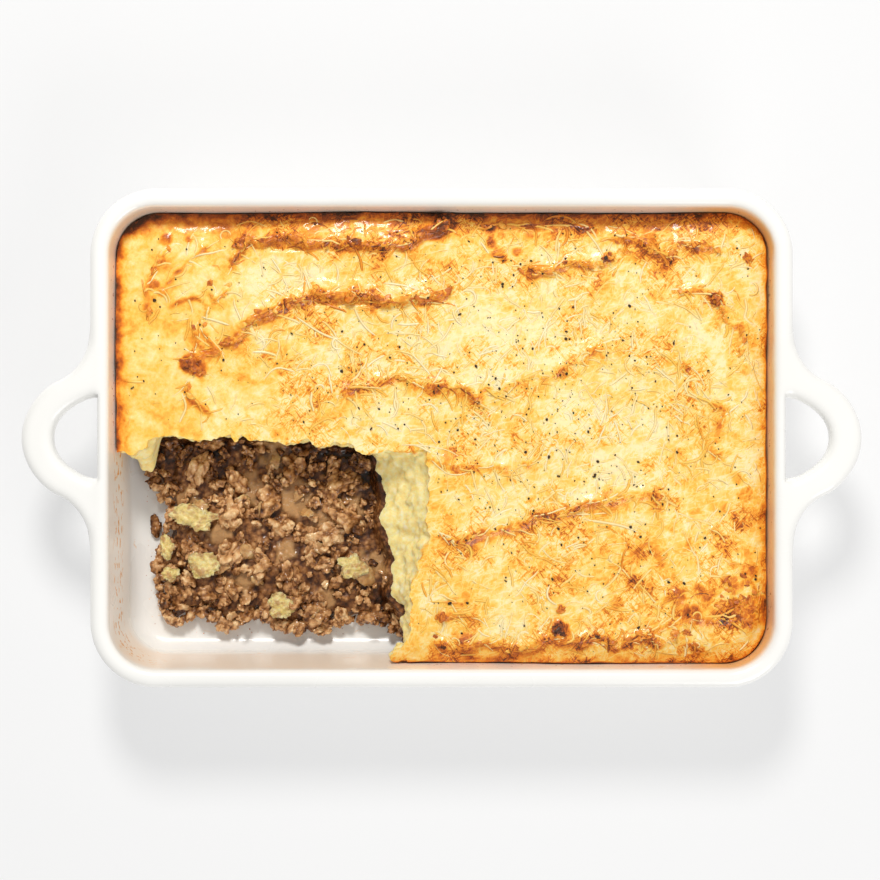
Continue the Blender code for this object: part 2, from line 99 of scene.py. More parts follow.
# Folds in the mash, in millimetres: height, width behind the crest, browning (a share), path of the crest.
FOLDS = (
    (3.6, 4.6, 1.00, ((-103, 86), (-101, 90), (-96.5, 98), (-88, 96), (-84, 98), (-73, 98), (-66, 95.7),
                      (-55, 96), (-41, 95.4), (-33, 94.3), (-20, 95.3), (-13, 97.2), (-6.5, 100.7),
                      (-0.7, 103), (3.7, 107))),
    (3.4, 5.0, 0.88, ((-105.6, 46), (-101, 48.5), (-96.6, 56), (-89, 60), (-82, 62.5), (-74.6, 66.3),
                      (-66, 69), (-61, 71), (-51, 70.2), (-41, 71.2), (-32, 69), (-24, 66.8),
                      (-14, 69), (-2.4, 70.3), (3.7, 71.7))),
    (1.7, 5.2, 0.58, ((-50, 12), (-48.6, 20), (-46, 24), (-41, 25), (-29, 27), (-21, 30.4), (-16, 28.5),
                      (-10, 26.2), (3.7, 25.5), (12, 24.5), (17, 19.6), (22, 24.5), (27.7, 21.6),
                      (32, 25.5), (40, 28.5), (58, 33.4), (78, 45.7))),
    (1.3, 4.8, 0.42, ((-8, -7), (5, -13.3), (21, -14), (34.4, -14), (48.4, -12.3))),
    (1.9, 5.4, 0.58, ((-2.4, -46), (5.5, -50), (11, -50), (18.8, -46.2), (33, -43.2), (40.7, -41.5),
                      (46, -38.3), (56, -37.6), (64, -35.2), (72, -31.4), (81, -31.3), (88.6, -29),
                      (96.5, -28), (104.3, -27.5), (107.3, -33))),
    (2.0, 4.8, 0.78, ((-2.4, -98.7), (6, -103.4), (18.8, -101), (23.3, -101), (33, -103.4), (45.4, -102.6),
                      (51.7, -98.7), (62.6, -100.2), (70.5, -99.4), (77.3, -97), (84.7, -101.6),
                      (99.4, -97.2), (108, -100.2), (115, -95.5), (123, -101.6), (128, -104.6))),
    (1.5, 4.4, 0.50, ((96.4, -97), (112, -92.3), (123, -88.4), (131.6, -89.2), (143.4, -88.4))),
    (2.6, 4.0, 0.70, ((41, 82.5), (53.3, 82.7), (62, 85.6), (71.3, 85.6), (77.8, 86.4), (82, 88.5))),
    (2.4, 4.4, 0.80, ((85.7, 98), (96.5, 98), (103.7, 92.3), (113, 90.8), (118, 95), (134.8, 93.5),
                      (139, 92.8))),
    (1.4, 3.0, 0.72, ((-144, 62), (-144.6, 70.2), (-144, 75.8), (-142.2, 82), (-138.7, 87), (-135.3, 94))),
    (1.4, 3.0, 0.45, ((-136.7, 75.8), (-130.4, 81.5), (-124.2, 87), (-114.6, 95.7))),
    (1.0, 2.4, 0.55, ((-132.5, 63.3), (-130.4, 66.3), (-121.5, 69.7), (-117, 67.8), (-115.2, 63.3),
                      (-115, 58))),
    (1.2, 2.4, 0.60, ((-113.2, 75.8), (-112.7, 69.7), (-109, 69), (-103.5, 74.8))),
    (1.4, 2.6, 0.80, ((-122, 55), (-120, 49), (-117.3, 44.7))),
    (1.5, 2.8, 0.75, ((-117.3, 54.5), (-114.6, 49), (-111.2, 42.7), (-118, 40.5), (-123.5, 39.3))),
    (0.9, 2.4, 0.75, ((-123.5, 25.5), (-123.5, 20), (-118, 15.5), (-112, 12))),
    (1.1, 2.4, 0.70, ((-28, 100.2), (-21.4, 100.7), (-14.6, 101.3))),
    (1.2, 2.6, 0.70, ((19.6, 104), (30.7, 105))),
    (0.8, 2.2, 0.50, ((37.6, 104), (53.3, 105.6))),
    (1.3, 2.8, 0.75, ((64.8, 103.6), (75, 103))),
    (0.9, 2.4, 0.50, ((-44.4, 38.8), (-44.4, 25))),
    (0.9, 2.4, 0.45, ((-38.2, 38.8), (-39, 25))),
    (1.0, 2.6, 0.42, ((78.3, 47.6), (80.3, 35.8))),
    (1.4, 3.2, 0.60, ((116.6, 72), (128.2, 72.7), (135, 68.5))),
    (1.8, 3.4, 0.62, ((137, 70), (141, 57.4), (147, 54), (148.3, 47.6), (147, 41))),
    (1.4, 3.0, 0.55, ((150.5, 36.8), (147.5, 31.6))),
    (1.3, 3.0, 0.55, ((118.8, 37.3), (121.7, 32.4))),
    (1.6, 3.6, 0.52, ((131, 18), (139.7, 13), (128, -6))),
    (1.0, 2.6, 0.50, ((131.3, -44.2), (141.2, -48.6))),
    (1.1, 2.6, 0.55, ((0, -87.7), (9, -87), (19, -88.4))),
    (1.0, 3.0, 0.45, ((133, -4.7), (140, -10.2))),
    (0.9, 2.6, 0.40, ((-90, 49.6), (-96, 55))),
)

# Browned places, in millimetres: x, y, radius, strength, and how far they stand up.
SPOTS = (
    (-123.5, 36.5, 5.2, 0.95, 3.2), (-118.5, 33.0, 3.4, 0.75, 1.6), (57.2, -93.3, 4.4, 1.30, 3.4),
    (58.7, -83.8, 1.6, 0.80, 0.8), (0.0, -88.0, 2.4, 0.95, 1.6), (148.0, -79.5, 17.0, 0.72, 1.6),
    (151.0, -66.5, 6.0, 0.40, 0.6), (151.5, -87.0, 6.0, 0.55, 0.8), (121.0, -79.5, 14.0, 0.48, 0.8),
    (116.6, -78.1, 3.6, 0.60, 1.0), (137.0, -84.0, 6.0, 0.40, 0.6), (86.2, -80.5, 4.0, 0.42, 0.6),
    (92.5, -70.4, 4.0, 0.42, 0.6), (127.7, -104.1, 3.2, 0.60, 0.8), (114.4, -95.5, 1.7, 0.70, 0.5),
    (120.5, -95.7, 2.0, 0.75, 0.5), (24.3, 95.7, 3.4, 0.55, 0.6), (27.7, 91.0, 3.4, 0.60, 0.7),
    (30.0, 88.0, 2.6, 0.50, 0.4), (37.0, 91.5, 2.6, 0.50, 0.4), (2.2, 104.6, 4.6, 0.85, 1.6),
    (-135.3, 97.2, 3.0, 0.55, 0.6), (-124.2, 97.2, 2.0, 0.45, 0.3), (-140.2, 75.8, 2.6, 0.60, 0.8),
    (-137.2, 71.7, 2.4, 0.60, 0.8), (135.3, 68.2, 3.4, 1.00, 2.4), (145.6, -19.5, 4.4, 0.42, 0.3),
    (149.5, -28.0, 4.2, 0.52, 0.3), (104.0, 93.0, 5.5, 0.55, 1.0), (96.0, 92.0, 7.0, 0.30, 0.4),
    (109.0, 84.0, 7.0, 0.22, 0.3), (12.0, -102.0, 7.0, 0.55, 0.4), (82.0, 88.5, 3.0, 0.95, 1.6),
    (150.0, 88.5, 2.6, 0.75, 0.8), (106.0, -29.0, 6.0, 0.25, 0.4), (84.0, -29.5, 6.0, 0.34, 0.5),
    (-41.0, 72.0, 6.0, 0.30, 0.4), (-99.0, 95.0, 3.2, 0.80, 0.8), (-105.0, 47.0, 2.4, 0.80, 0.8),
    (104.0, -60.0, 24.0, 0.16, 0.0), (140.0, -45.0, 22.0, 0.18, 0.0), (60.0, -75.0, 26.0, 0.10, 0.0),
    (-70.0, 40.0, 26.0, 0.12, 0.0), (-60.0, 12.0, 16.0, 0.14, 0.0), (4.0, -8.0, 5.0, 0.40, 0.4),
    (48.0, 22.0, 5.0, 0.35, 0.3), (17.5, 19.0, 3.2, 0.32, 0.4), (-148.0, 60.0, 12.0, 0.10, 0.0),
    (-138.0, 84.0, 12.0, 0.12, 0.0), (-110.0, 88.0, 8.0, 0.16, 0.0),
)

# Places where the mash stayed pale, in millimetres: x, y, radius.
PALE_PLACES = ((-95.0, 75.0, 14.0), (-140.0, 35.0, 14.0), (20.0, 48.0, 24.0), (130.0, 50.0, 12.0),
               (70.0, 15.0, 22.0), (30.0, -25.0, 16.0), (40.0, -92.0, 16.0), (105.0, 5.0, 14.0),
               (118.0, -99.0, 8.0))

# The served corner, in millimetres: the cut's foot and crest, and the edge of the mince that was left.
# Each line starts left of the dish and ends in front of it.
CUT_FOOT = ((-185, 1), (-150, 1), (-120, 2), (-85, 1), (-55, -2), (-40, -5), (-34, -10), (-29.5, -32),
            (-31.5, -41), (-27.5, -54), (-24.5, -60), (-26.5, -66), (-24.5, -73), (-27, -78),
            (-19, -89), (-22.5, -93), (-19.5, -101), (-19.5, -106), (-25, -108.5), (-24, -111.5),
            (-11, -114), (-11, -135))
CUT_CREST = ((-185, -7), (-158, -8), (-151, -7), (-145, -5), (-139, 1), (-131, 1), (-124, 0), (-118, -1.5),
             (-112, 0.5), (-104, 1.5), (-101.2, -2), (-99, 2.5), (-95, 0), (-85, -1.8), (-75, -3.8),
             (-66, -1.8), (-60, -5.2), (-53, -3), (-46, -3.8), (-38, -7.6), (-27, -6.7), (-16, -6),
             (-8, -8), (-5.5, -20), (-6.5, -45), (-8, -55), (-12, -66), (-14.5, -75), (-14.5, -88),
             (-15, -97), (-23.5, -104), (-24, -108.5), (-12, -113), (-11, -135))
MINCE_EDGE = ((-185, -4), (-158, -8), (-150, -18), (-146, -27), (-141, -33), (-141.5, -45), (-144.5, -56),
              (-147, -66), (-145, -76), (-143.5, -86), (-140, -94), (-135, -96), (-127, -92), (-118, -93),
              (-113, -98), (-105, -96), (-98, -93), (-91, -93), (-86, -97), (-78, -99), (-72, -100),
              (-67, -97), (-59, -100), (-55, -96), (-47, -95), (-35, -94.5), (-25, -98), (-20, -104),
              (-18, -112), (-18, -135))
CUT_POINTS = 430
CUT_LEVELS = 26
CUT_LOW = MINCE_TOP - 0.001
CUT_HIGH = MASH_TOP + 0.0005
FLAP_X = -0.1475
FLAP_HALF_WIDTH = 0.0055
FLAP_REACH = 0.019

# The mince where it lies bare.
HEAP_HEIGHT = 0.0125
HEAP_EDGE_HEIGHT = 0.0050
HEAP_EDGE_WIDTH = 0.030
HEAP_RISE = 0.0016
CORE_BELOW = 0.0032
CORE_CLEARANCE = 0.0003
# How far the core stays behind the heap's edge: height, distance.
CORE_SETBACKS = ((-0.01, 0.0038), (FLOOR_THICKNESS + 0.001, 0.0042), (FLOOR_THICKNESS + 0.004, 0.0060),
                 (0.035, 0.015))
CORE_CELL = 0.0010
MINCE_TRIES = 9000
SERVED_X = (-0.158, -0.012)
SERVED_Y = (-0.106, 0.006)


# ---------------------------------------------------------------- numbers

class Noise:
    """Smooth gradient noise in three dimensions, about -1 to 1."""

    def __init__(self, seed):
        random = np.random.RandomState(seed)
        self.order = random.permutation(256)
        slopes = random.normal(size=(256, 3))
        self.slopes = slopes / np.linalg.norm(slopes, axis=1)[:, None]

    def __call__(self, points, size):
        scaled = np.asarray(points, float) / size
        cell = np.floor(scaled).astype(np.int64)
        part = scaled - cell
        fade = part ** 3 * (part * (part * 6 - 15) + 10)
        total = np.zeros(len(scaled))
        for corner in np.ndindex(2, 2, 2):
            corner = np.array(corner)
            spot = (cell + corner) & 255
            index = self.order[(self.order[(self.order[spot[:, 0]] + spot[:, 1]) & 255] + spot[:, 2]) & 255]
            value = np.einsum("ij,ij->i", self.slopes[index], part - corner)
            weight = np.prod(np.where(corner, fade, 1 - fade), axis=1)
            total += value * weight
        return total * 1.7

    def layers(self, points, size, count, fall):
        """Several layers, each half the size of the last and its height times the fall."""
        return sum(fall ** n * self(points, size / 2 ** n) for n in range(count))


def cells(points, size, seed):
    """Distance to the nearest of points strewn one to a cube, as a share of the cube's size."""
    random = np.random.RandomState(seed)
    table = random.uniform(0.1, 0.9, size=(4096, 3))
    scaled = np.asarray(points, float) / size
    base = np.floor(scaled).astype(np.int64)
    nearest = np.full(len(scaled), 9.0)
    for step in np.ndindex(3, 3, 3):
        cube = base + np.array(step) - 1
        key = (cube[:, 0] * 7919 + cube[:, 1] * 104729 + cube[:, 2] * 1299709) & 4095
        gap = cube + table[key] - scaled
        nearest = np.minimum(nearest, np.einsum("ij,ij->i", gap, gap))
    return np.sqrt(nearest)


def flat(x, y, z=0.0):
    """Rows of x, y and z."""
    return np.column_stack([np.ravel(x), np.ravel(y), np.broadcast_to(z, np.shape(np.ravel(x)))])


def ease(value, low, high):
    """0 below low, 1 above high, and smooth between them."""
    share = np.clip((value - low) / (high - low), 0, 1)
    return share * share * (3 - 2 * share)


def curve_points(points, spacing):
    """Points at about even spacing on a smooth curve through the given ones."""
    control = np.array([points[0], *points, points[-1]], float)
    found = []
    for index in range(len(points) - 1):
        p0, p1, p2, p3 = control[index:index + 4]
        count = max(1, round(float(np.linalg.norm(p2 - p1)) / spacing))
        for step in range(count):
            t = step / count
            found.append(0.5 * (2 * p1 + (p2 - p0) * t + (2 * p0 - 5 * p1 + 4 * p2 - p3) * t * t
                                + (3 * p1 - p0 - 3 * p2 + p3) * t ** 3))
    found.append(control[-1])
    return np.array(found)


def metres(path, spacing=0.002):
    """A smooth line in metres through places given in millimetres."""
    return curve_points(np.array(path, float) * MM, spacing)


def travelled(line):
    """The distance along a line at each of its points."""
    return np.concatenate(([0.0], np.cumsum(np.linalg.norm(np.diff(line, axis=0), axis=1))))


def resample(line, count):
    """The same line in plan, by a number of evenly spaced points."""
    along = travelled(line)
    even = np.linspace(0, along[-1], count)
    return np.column_stack([np.interp(even, along, line[:, axis]) for axis in (0, 1)])


def left_of(line):
    """Steps of length 1 to the left of a line, at each of its points."""
    run = np.gradient(line, axis=0)
    run /= np.linalg.norm(run, axis=1)[:, None]
    return np.column_stack((-run[:, 1], run[:, 0]))


def served_ring(line, z):
    """A line round the served corner, closed by way of a place outside the dish."""
    return flat(*np.vstack([np.maximum(line, FAR_CORNER), [FAR_CORNER]]).T, z)


def beside(x, y, path):
    """Distance from a broken line, positive on its left, and how far along it the nearest place is."""
    nearest = np.full(np.shape(x), 1.0)
    side = np.ones(np.shape(x))
    along = np.zeros(np.shape(x))
    start = 0.0
    for (ax, ay), (bx, by) in zip(path[:-1], path[1:]):
        run_x, run_y = bx - ax, by - ay
        length = math.hypot(run_x, run_y)
        share = np.clip(((x - ax) * run_x + (y - ay) * run_y) / length ** 2, 0, 1)
        gap = np.hypot(x - ax - share * run_x, y - ay - share * run_y)
        closer = gap < nearest
        nearest = np.where(closer, gap, nearest)
        along = np.where(closer, start + share * length, along)
        side = np.where(closer, np.sign(run_x * (y - ay) - run_y * (x - ax) + 1e-12), side)
        start += length
    return nearest * side, along, start


def inside_outline(x, y, outline):
    """Which points lie inside a closed outline."""
    odd = np.zeros(np.shape(x), bool)
    for (ax, ay), (bx, by) in zip(outline, [*outline[1:], outline[0]]):
        if ay != by:
            odd ^= ((ay > y) != (by > y)) & (x < (bx - ax) * (y - ay) / (by - ay) + ax)
    return odd


def inside_line(x, y, line):
    """Which points lie on the served side of an open line round the served corner."""
    return inside_outline(x, y, [*line, (line[0][0], line[-1][1])])


def inset(x, y):
    """How far in from the rim's outer edge a place lies, in plan."""
    out_x = np.abs(x) - (RIM_LENGTH / 2 - RIM_CORNER)
    out_y = np.abs(y) - (RIM_WIDTH / 2 - RIM_CORNER)
    outside = np.hypot(np.maximum(out_x, 0), np.maximum(out_y, 0))
    return RIM_CORNER - outside - np.minimum(np.maximum(out_x, out_y), 0)


def inner_wall(z):
    """The inner wall's inset at the height z."""
    return RIM_THICKNESS + (DISH_HEIGHT - z) * math.tan(WALL_DRAFT)


def wall_gap(x, y, z=MASH_TOP):
    """Distance in plan from the dish's inner wall."""
    return inset(x, y) - inner_wall(z)


# ---------------------------------------------------------------- pieces

def add_piece(name, points, faces, material=None, values=None):
    """A mesh object from arrays of points and faces."""
    mesh = bpy.data.meshes.new(name)
    faces = np.asarray(faces, np.int32)
    count, sides = faces.shape
    mesh.vertices.add(len(points))
    mesh.vertices.foreach_set("co", np.asarray(points, np.float32).ravel())
    mesh.loops.add(count * sides)
    mesh.loops.foreach_set("vertex_index", faces.ravel())
    mesh.polygons.add(count)
    mesh.polygons.foreach_set("loop_start", np.arange(0, count * sides, sides, dtype=np.int32))
    mesh.update(calc_edges=True)
    mesh.validate()
    dress(mesh, material, values)
    piece = bpy.data.objects.new(name, mesh)
    bpy.context.scene.collection.objects.link(piece)
    return piece


def dress(mesh, material, values):
    """Gives a mesh its material, and the values that the material reads at every point."""
    for key, value in (values or {}).items():
        layer = mesh.attributes.new(key, "FLOAT", "POINT")
        layer.data.foreach_set("value", np.ascontiguousarray(value, np.float32))
    mesh.materials.clear()
    if material:
        mesh.materials.append(material)
    mesh.shade_smooth()


def tie(piece, slot, *replaced):
    """Ties a piece to the pie's one body and hides the solids that it stands for; the slot is not used."""
    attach(piece, "root")
    if replaced:
        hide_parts(*replaced)


def places(mesh):
    """A mesh's points as rows."""
    found = np.empty(len(mesh.vertices) * 3, np.float32)
    mesh.vertices.foreach_get("co", found)
    return found.reshape(-1, 3).astype(float)


def applied(piece):
    """Replaces a piece's mesh with what its modifiers make of it."""
    graph = bpy.context.evaluated_depsgraph_get()
    made = bpy.data.meshes.new_from_object(piece.evaluated_get(graph), depsgraph=graph)
    piece.modifiers.clear()
    piece.data = made
    return piece


def carve(piece, other, operation):
    """Cuts a piece by another body with a Boolean, and removes that body."""
    modifier = piece.modifiers.new(operation.title(), "BOOLEAN")
    modifier.operation = operation
    modifier.solver = "MANIFOLD"
    modifier.object = other
    applied(piece)
    bpy.data.objects.remove(other, do_unlink=True)


def loft(name, rings):
    """A closed body through rings of equally many points."""
    count = len(rings[0])
    points = np.concatenate(rings)
    around = np.arange(count)
    after = (around + 1) % count
    faces = []
    for level in range(len(rings) - 1):
        low, high = level * count, (level + 1) * count
        faces.append(np.column_stack([low + around, low + after, high + after, high + around]))
    faces = np.concatenate(faces).tolist()
    faces += [list(reversed(range(count))), list(range(len(points) - count, len(points)))]
    shadow = rings[0][:, 0] * np.roll(rings[0][:, 1], -1) - np.roll(rings[0][:, 0], -1) * rings[0][:, 1]
    if shadow.sum() * (rings[-1][0, 2] - rings[0][0, 2]) < 0:
        faces = [list(reversed(face)) for face in faces]
    mesh = bpy.data.meshes.new(name)
    mesh.from_pydata(points.tolist(), [], faces)
    body = bpy.data.objects.new(name, mesh)
    bpy.context.scene.collection.objects.link(body)
    return body


def ball(level):
    """Points and faces of a unit ball of near-even triangles."""
    builder = bmesh.new()
    bmesh.ops.create_icosphere(builder, subdivisions=level, radius=1.0)
    points = np.array([v.co[:] for v in builder.verts])
    faces = np.array([[v.index for v in f.verts] for f in builder.faces])
    builder.free()
    return points, faces


def turn_matrix(random):
    """A turn in any direction."""
    q, r = np.linalg.qr(random.normal(size=(3, 3)))
    return q * np.sign(np.diag(r))


# ---------------------------------------------------------------- materials

class Look:
    """A node material with short calls for the nodes that food and glaze need."""

    def __init__(self, name, **constants):
        self.material = bpy.data.materials.new(name)
        self.material.use_nodes = True
        self.tree = self.material.node_tree
        self.shader = self.tree.nodes["Principled BSDF"]
        for key, value in constants.items():
            self.shader.inputs[key.replace("_", " ")].default_value = value
        self.object = self.node("ShaderNodeTexCoord").outputs["Object"]

    def node(self, kind, **settings):
        """A new node with its settings."""
        made = self.tree.nodes.new(kind)
        for key, value in settings.items():
            setattr(made, key, value)
        return made

    def put(self, socket, value):
        """Feeds a socket from another node, or gives it a value."""
        if isinstance(value, bpy.types.NodeSocket):
            self.tree.links.new(value, socket)
        else:
            socket.default_value = value

    def set(self, **values):
        """Feeds the shader's own sockets."""
        for key, value in values.items():
            self.put(self.shader.inputs[key.replace("_", " ")], value)

    def value(self, name):
        """A value that the mesh holds at every point."""
        return self.node("ShaderNodeAttribute", attribute_name=name).outputs["Fac"]

    def math(self, operation, a, b=0.0, clamp=False):
        made = self.node("ShaderNodeMath", operation=operation, use_clamp=clamp)
        for socket, value in zip(made.inputs, (a, b)):
            self.put(socket, value)
        return made.outputs[0]

    def times(self, *values):
        """All the values multiplied."""
        total = values[0]
        for value in values[1:]:
            total = self.math("MULTIPLY", total, value)
        return total

    def plus(self, base, field, weight, middle=0.0):
        """The base with a weighted field added, the field counted from its middle."""
        if middle:
            field = self.math("SUBTRACT", field, middle)
        return self.math("ADD", base, self.math("MULTIPLY", field, weight))

    def between(self, value, low, high, out_low=0.0, out_high=1.0):
        """Goes smoothly from one number to another as the value goes from low to high."""
        made = self.node("ShaderNodeMapRange", interpolation_type="SMOOTHSTEP")
        for key, item in (("Value", value), ("From Min", low), ("From Max", high),
                          ("To Min", out_low), ("To Max", out_high)):
            self.put(made.inputs[key], item)
        return made.outputs[0]

    def placed(self, sizes, turn=0.0):
        """Coordinates turned about Z, then counted in steps of the given sizes."""
        made = self.node("ShaderNodeMapping", vector_type="TEXTURE")
        self.put(made.inputs["Vector"], self.object)
        made.inputs["Rotation"].default_value = (0.0, 0.0, turn)
        made.inputs["Scale"].default_value = sizes
        return made.outputs[0]

    def noise(self, scale, detail, roughness=0.55, distortion=0.0, place=None):
        made = self.node("ShaderNodeTexNoise")
        self.put(made.inputs["Vector"], place or self.object)
        made.inputs["Scale"].default_value = scale
        made.inputs["Detail"].default_value = detail
        made.inputs["Roughness"].default_value = roughness
        made.inputs["Distortion"].default_value = distortion
        return made.outputs["Fac"]

    def voronoi(self, scale):
        """Distance to the nearest of many strewn points."""
        made = self.node("ShaderNodeTexVoronoi")
        self.put(made.inputs["Vector"], self.object)
        made.inputs["Scale"].default_value = scale
        return made.outputs["Distance"]

    def ramp(self, value, *stops):
        """Colours at stops along a value."""
        made = self.node("ShaderNodeValToRGB")
        self.put(made.inputs["Fac"], value)
        elements = made.color_ramp.elements
        while len(elements) < len(stops):
            elements.new(0.5)
        for element, (position, colour) in zip(elements, stops):
            element.position = position
            element.color = (*linear(colour), 1.0)
        return made.outputs["Color"]

    def mix(self, share, a, b):
        made = self.node("ShaderNodeMix", data_type="RGBA")
        self.put(made.inputs["Factor"], share)
        for socket, value in zip((made.inputs[6], made.inputs[7]), (a, b)):
            self.put(socket, (*linear(value), 1.0) if isinstance(value, tuple) else value)
        return made.outputs[2]

    def bump(self, height, distance, strength):
        made = self.node("ShaderNodeBump")
        made.inputs["Strength"].default_value = strength
        made.inputs["Distance"].default_value = distance
        self.put(made.inputs["Height"], height)
        return made.outputs["Normal"]

    def lines(self, angle, length, spacing, width, bend):
        """Thin wandering lines in about one direction, 1 on a line and 0 between them."""
        place = self.placed((length, spacing, 3 * spacing), turn=angle)
        wave = self.noise(1.0, 2.0, 0.5, bend, place)
        return self.between(self.math("ABSOLUTE", self.math("SUBTRACT", wave, 0.5)), 0.0, width, 1.0, 0.0)


def linear(colour):
    """Linear values of a colour given as 0 to 255 display values."""
    shares = np.array(colour, float) / 255
    return tuple(np.where(shares <= 0.04045, shares / 12.92, ((shares + 0.055) / 1.055) ** 2.4))


def glaze_look():
    """White glaze, tan with baked-on grease and painted warm light bounced from the mash, with dashes of
    crust and thin smears.
    """
    look = Look("white_glaze", IOR=1.5, Coat_IOR=1.5, Coat_Roughness=0.14, Coat_Weight=0.2)
    inside = look.value("inside")
    split = look.node("ShaderNodeSeparateXYZ")
    look.put(split.inputs[0], look.object)
    height = split.outputs[2]
    cloud = look.noise(14.0, 3.0)
    glaze = look.mix(look.between(cloud, 0.35, 0.7), (247, 246, 242), (243, 242, 238))
    # painted reflection: the tan on the inner walls is partly baked-on grease and partly painted warm light
    # bounced from the mash
    stain_and_bounce_edge = look.plus(height, look.noise(60.0, 4.0), 0.012)
    stain_and_bounce_band = look.times(look.between(stain_and_bounce_edge, 0.059, 0.068, 1.0, 0.1), inside)
    tan = look.times(stain_and_bounce_band, look.between(height, 0.012, 0.026), look.value("stain_and_bounce"))
    colour = look.mix(look.times(tan, 0.95), glaze, (236, 184, 116))
    # baked-on crust just above the mash, and dashes where it stood in the served corner
    band = look.times(look.between(height, 0.026, 0.036), look.between(height, 0.044, 0.052, 1.0, 0.0))
    dashes = look.between(look.noise(400.0, 3.0, 0.6, 0.3, look.placed((1.0, 2.0, 1.0))), 0.56, 0.61)
    dashes = look.times(dashes, band, look.value("bare"))
    colour = look.mix(dashes, colour, (228, 160, 62))
    crust = look.times(look.between(look.noise(420.0, 4.0, 0.65), 0.60, 0.68), look.value("line"))
    colour = look.mix(crust, colour, (150, 84, 30))
    smear = look.between(look.noise(160.0, 4.0, 0.7, 0.6, look.placed((2.0, 1.0, 1.0))), 0.63, 0.72)
    look.set(Base_Color=look.mix(look.times(smear, look.value("smeared"), 0.55), colour, (236, 178, 104)))
    dirt_and_bounce = look.math("ADD", look.math("ADD", tan, dashes), crust, clamp=True)
    look.set(Roughness=look.plus(look.between(cloud, 0.3, 0.7, 0.22, 0.30), dirt_and_bounce, 0.3))
    look.set(Normal=look.bump(look.plus(look.noise(45.0, 2.0), look.noise(900.0, 2.0), 0.02), 0.0003, 0.4))
    return look.material


def crust_ramp(look, value):
    """Colours from pale mash to burnt crust."""
    return look.ramp(value, (0.0, (253, 233, 178)), (0.15, (254, 220, 136)), (0.32, (254, 198, 82)),
                     (0.48, (244, 158, 44)), (0.62, (216, 118, 28)), (0.76, (170, 82, 20)),
                     (0.88, (120, 58, 16)), (1.0, (66, 32, 8)))


def mash_look():
    """Baked mash: speckled crust where it is browned, darker too where shade is painted into the value bake,
    and plain pale mash inside the cut.
    """
    look = Look("browned_mash", IOR=1.45, Coat_IOR=1.45, Coat_Roughness=0.11, Coat_Weight=0.42,
                Specular_IOR_Level=0.3, Subsurface_Weight=0.25, Subsurface_Scale=0.0025,
                Subsurface_Radius=(1.0, 0.6, 0.25))
    burn = look.value("burn")
    pale = look.math("MAXIMUM", look.lines(0.25, 0.014, 0.0040, 0.045, 0.5),
                     look.lines(1.25, 0.011, 0.0036, 0.040, 0.5))
    toasted = look.math("MAXIMUM", look.lines(2.35, 0.012, 0.0030, 0.045, 0.6),
                        look.lines(0.80, 0.010, 0.0026, 0.045, 0.7))
    toasted = look.times(toasted, look.between(look.noise(55.0, 3.0), 0.42, 0.60))
    speckle = look.noise(520.0, 3.0, 0.6)
    level = look.plus(look.value("bake"), look.noise(120.0, 4.0, 0.6, 0.5), 0.80, 0.5)
    level = look.plus(level, speckle, 0.34, 0.5)
    level = look.plus(level, look.plus(look.times(toasted, 0.34), pale, -0.15), look.value("cheese"))
    level = look.math("MAXIMUM", level, look.times(burn, 0.9))
    top = crust_ramp(look, level)
    curd = look.noise(330.0, 4.0, 0.65)
    inner = look.ramp(curd, (0.25, (252, 214, 122)), (0.5, (255, 235, 160)), (0.72, (255, 248, 210)))
    raw = look.between(look.value("depth"), 0.0006, 0.0024)
    raw = look.times(raw, look.math("SUBTRACT", 1.0, burn, clamp=True))
    look.set(Base_Color=look.mix(raw, top, inner))
    look.set(Roughness=look.between(look.noise(240.0, 3.0), 0.35, 0.65, 0.34, 0.58))
    grain = look.plus(look.plus(look.times(speckle, 0.6), curd, 0.5), look.noise(210.0, 2.0), 1.1)
    look.set(Normal=look.bump(grain, 0.0007, 0.6))
    return look.material


def cheese_look():
    """Melted cheese, pale yellow to toasted."""
    look = Look("melted_cheese", IOR=1.46, Coat_IOR=1.46, Coat_Roughness=0.2, Coat_Weight=0.2)
    grain = look.noise(700.0, 3.0)
    level = look.plus(look.value("bake"), grain, 0.14, 0.5)
    fresh = look.between(level, 0.04, 0.30, 0.18, 0.0)
    look.set(Base_Color=look.mix(fresh, crust_ramp(look, level), (255, 243, 206)))
    look.set(Roughness=look.between(look.noise(300.0, 2.0), 0.3, 0.7, 0.24, 0.44))
    look.set(Normal=look.bump(grain, 0.0003, 0.6))
    return look.material


def flake_look():
    """Dry browned crust."""
    look = Look("browned_flake", IOR=1.45, Coat_IOR=1.45, Coat_Roughness=0.2, Coat_Weight=0.2)
    grain = look.noise(520.0, 4.0, 0.65)
    look.set(Base_Color=crust_ramp(look, look.plus(look.value("bake"), grain, 0.7, 0.5)))
    look.set(Roughness=look.between(grain, 0.3, 0.7, 0.35, 0.6))
    look.set(Normal=look.bump(grain, 0.0006, 0.9))
    return look.material


def pepper_look():
    """Black to brown cracked pepper."""
    look = Look("cracked_pepper", IOR=1.45)
    grain = look.noise(1400.0, 3.0)
    look.set(Base_Color=look.ramp(grain, (0.3, (22, 12, 6)), (0.6, (62, 38, 18)), (0.8, (120, 84, 44))))
    look.set(Roughness=look.between(grain, 0.3, 0.7, 0.45, 0.75))
    look.set(Normal=look.bump(grain, 0.0002, 0.8))
    return look.material


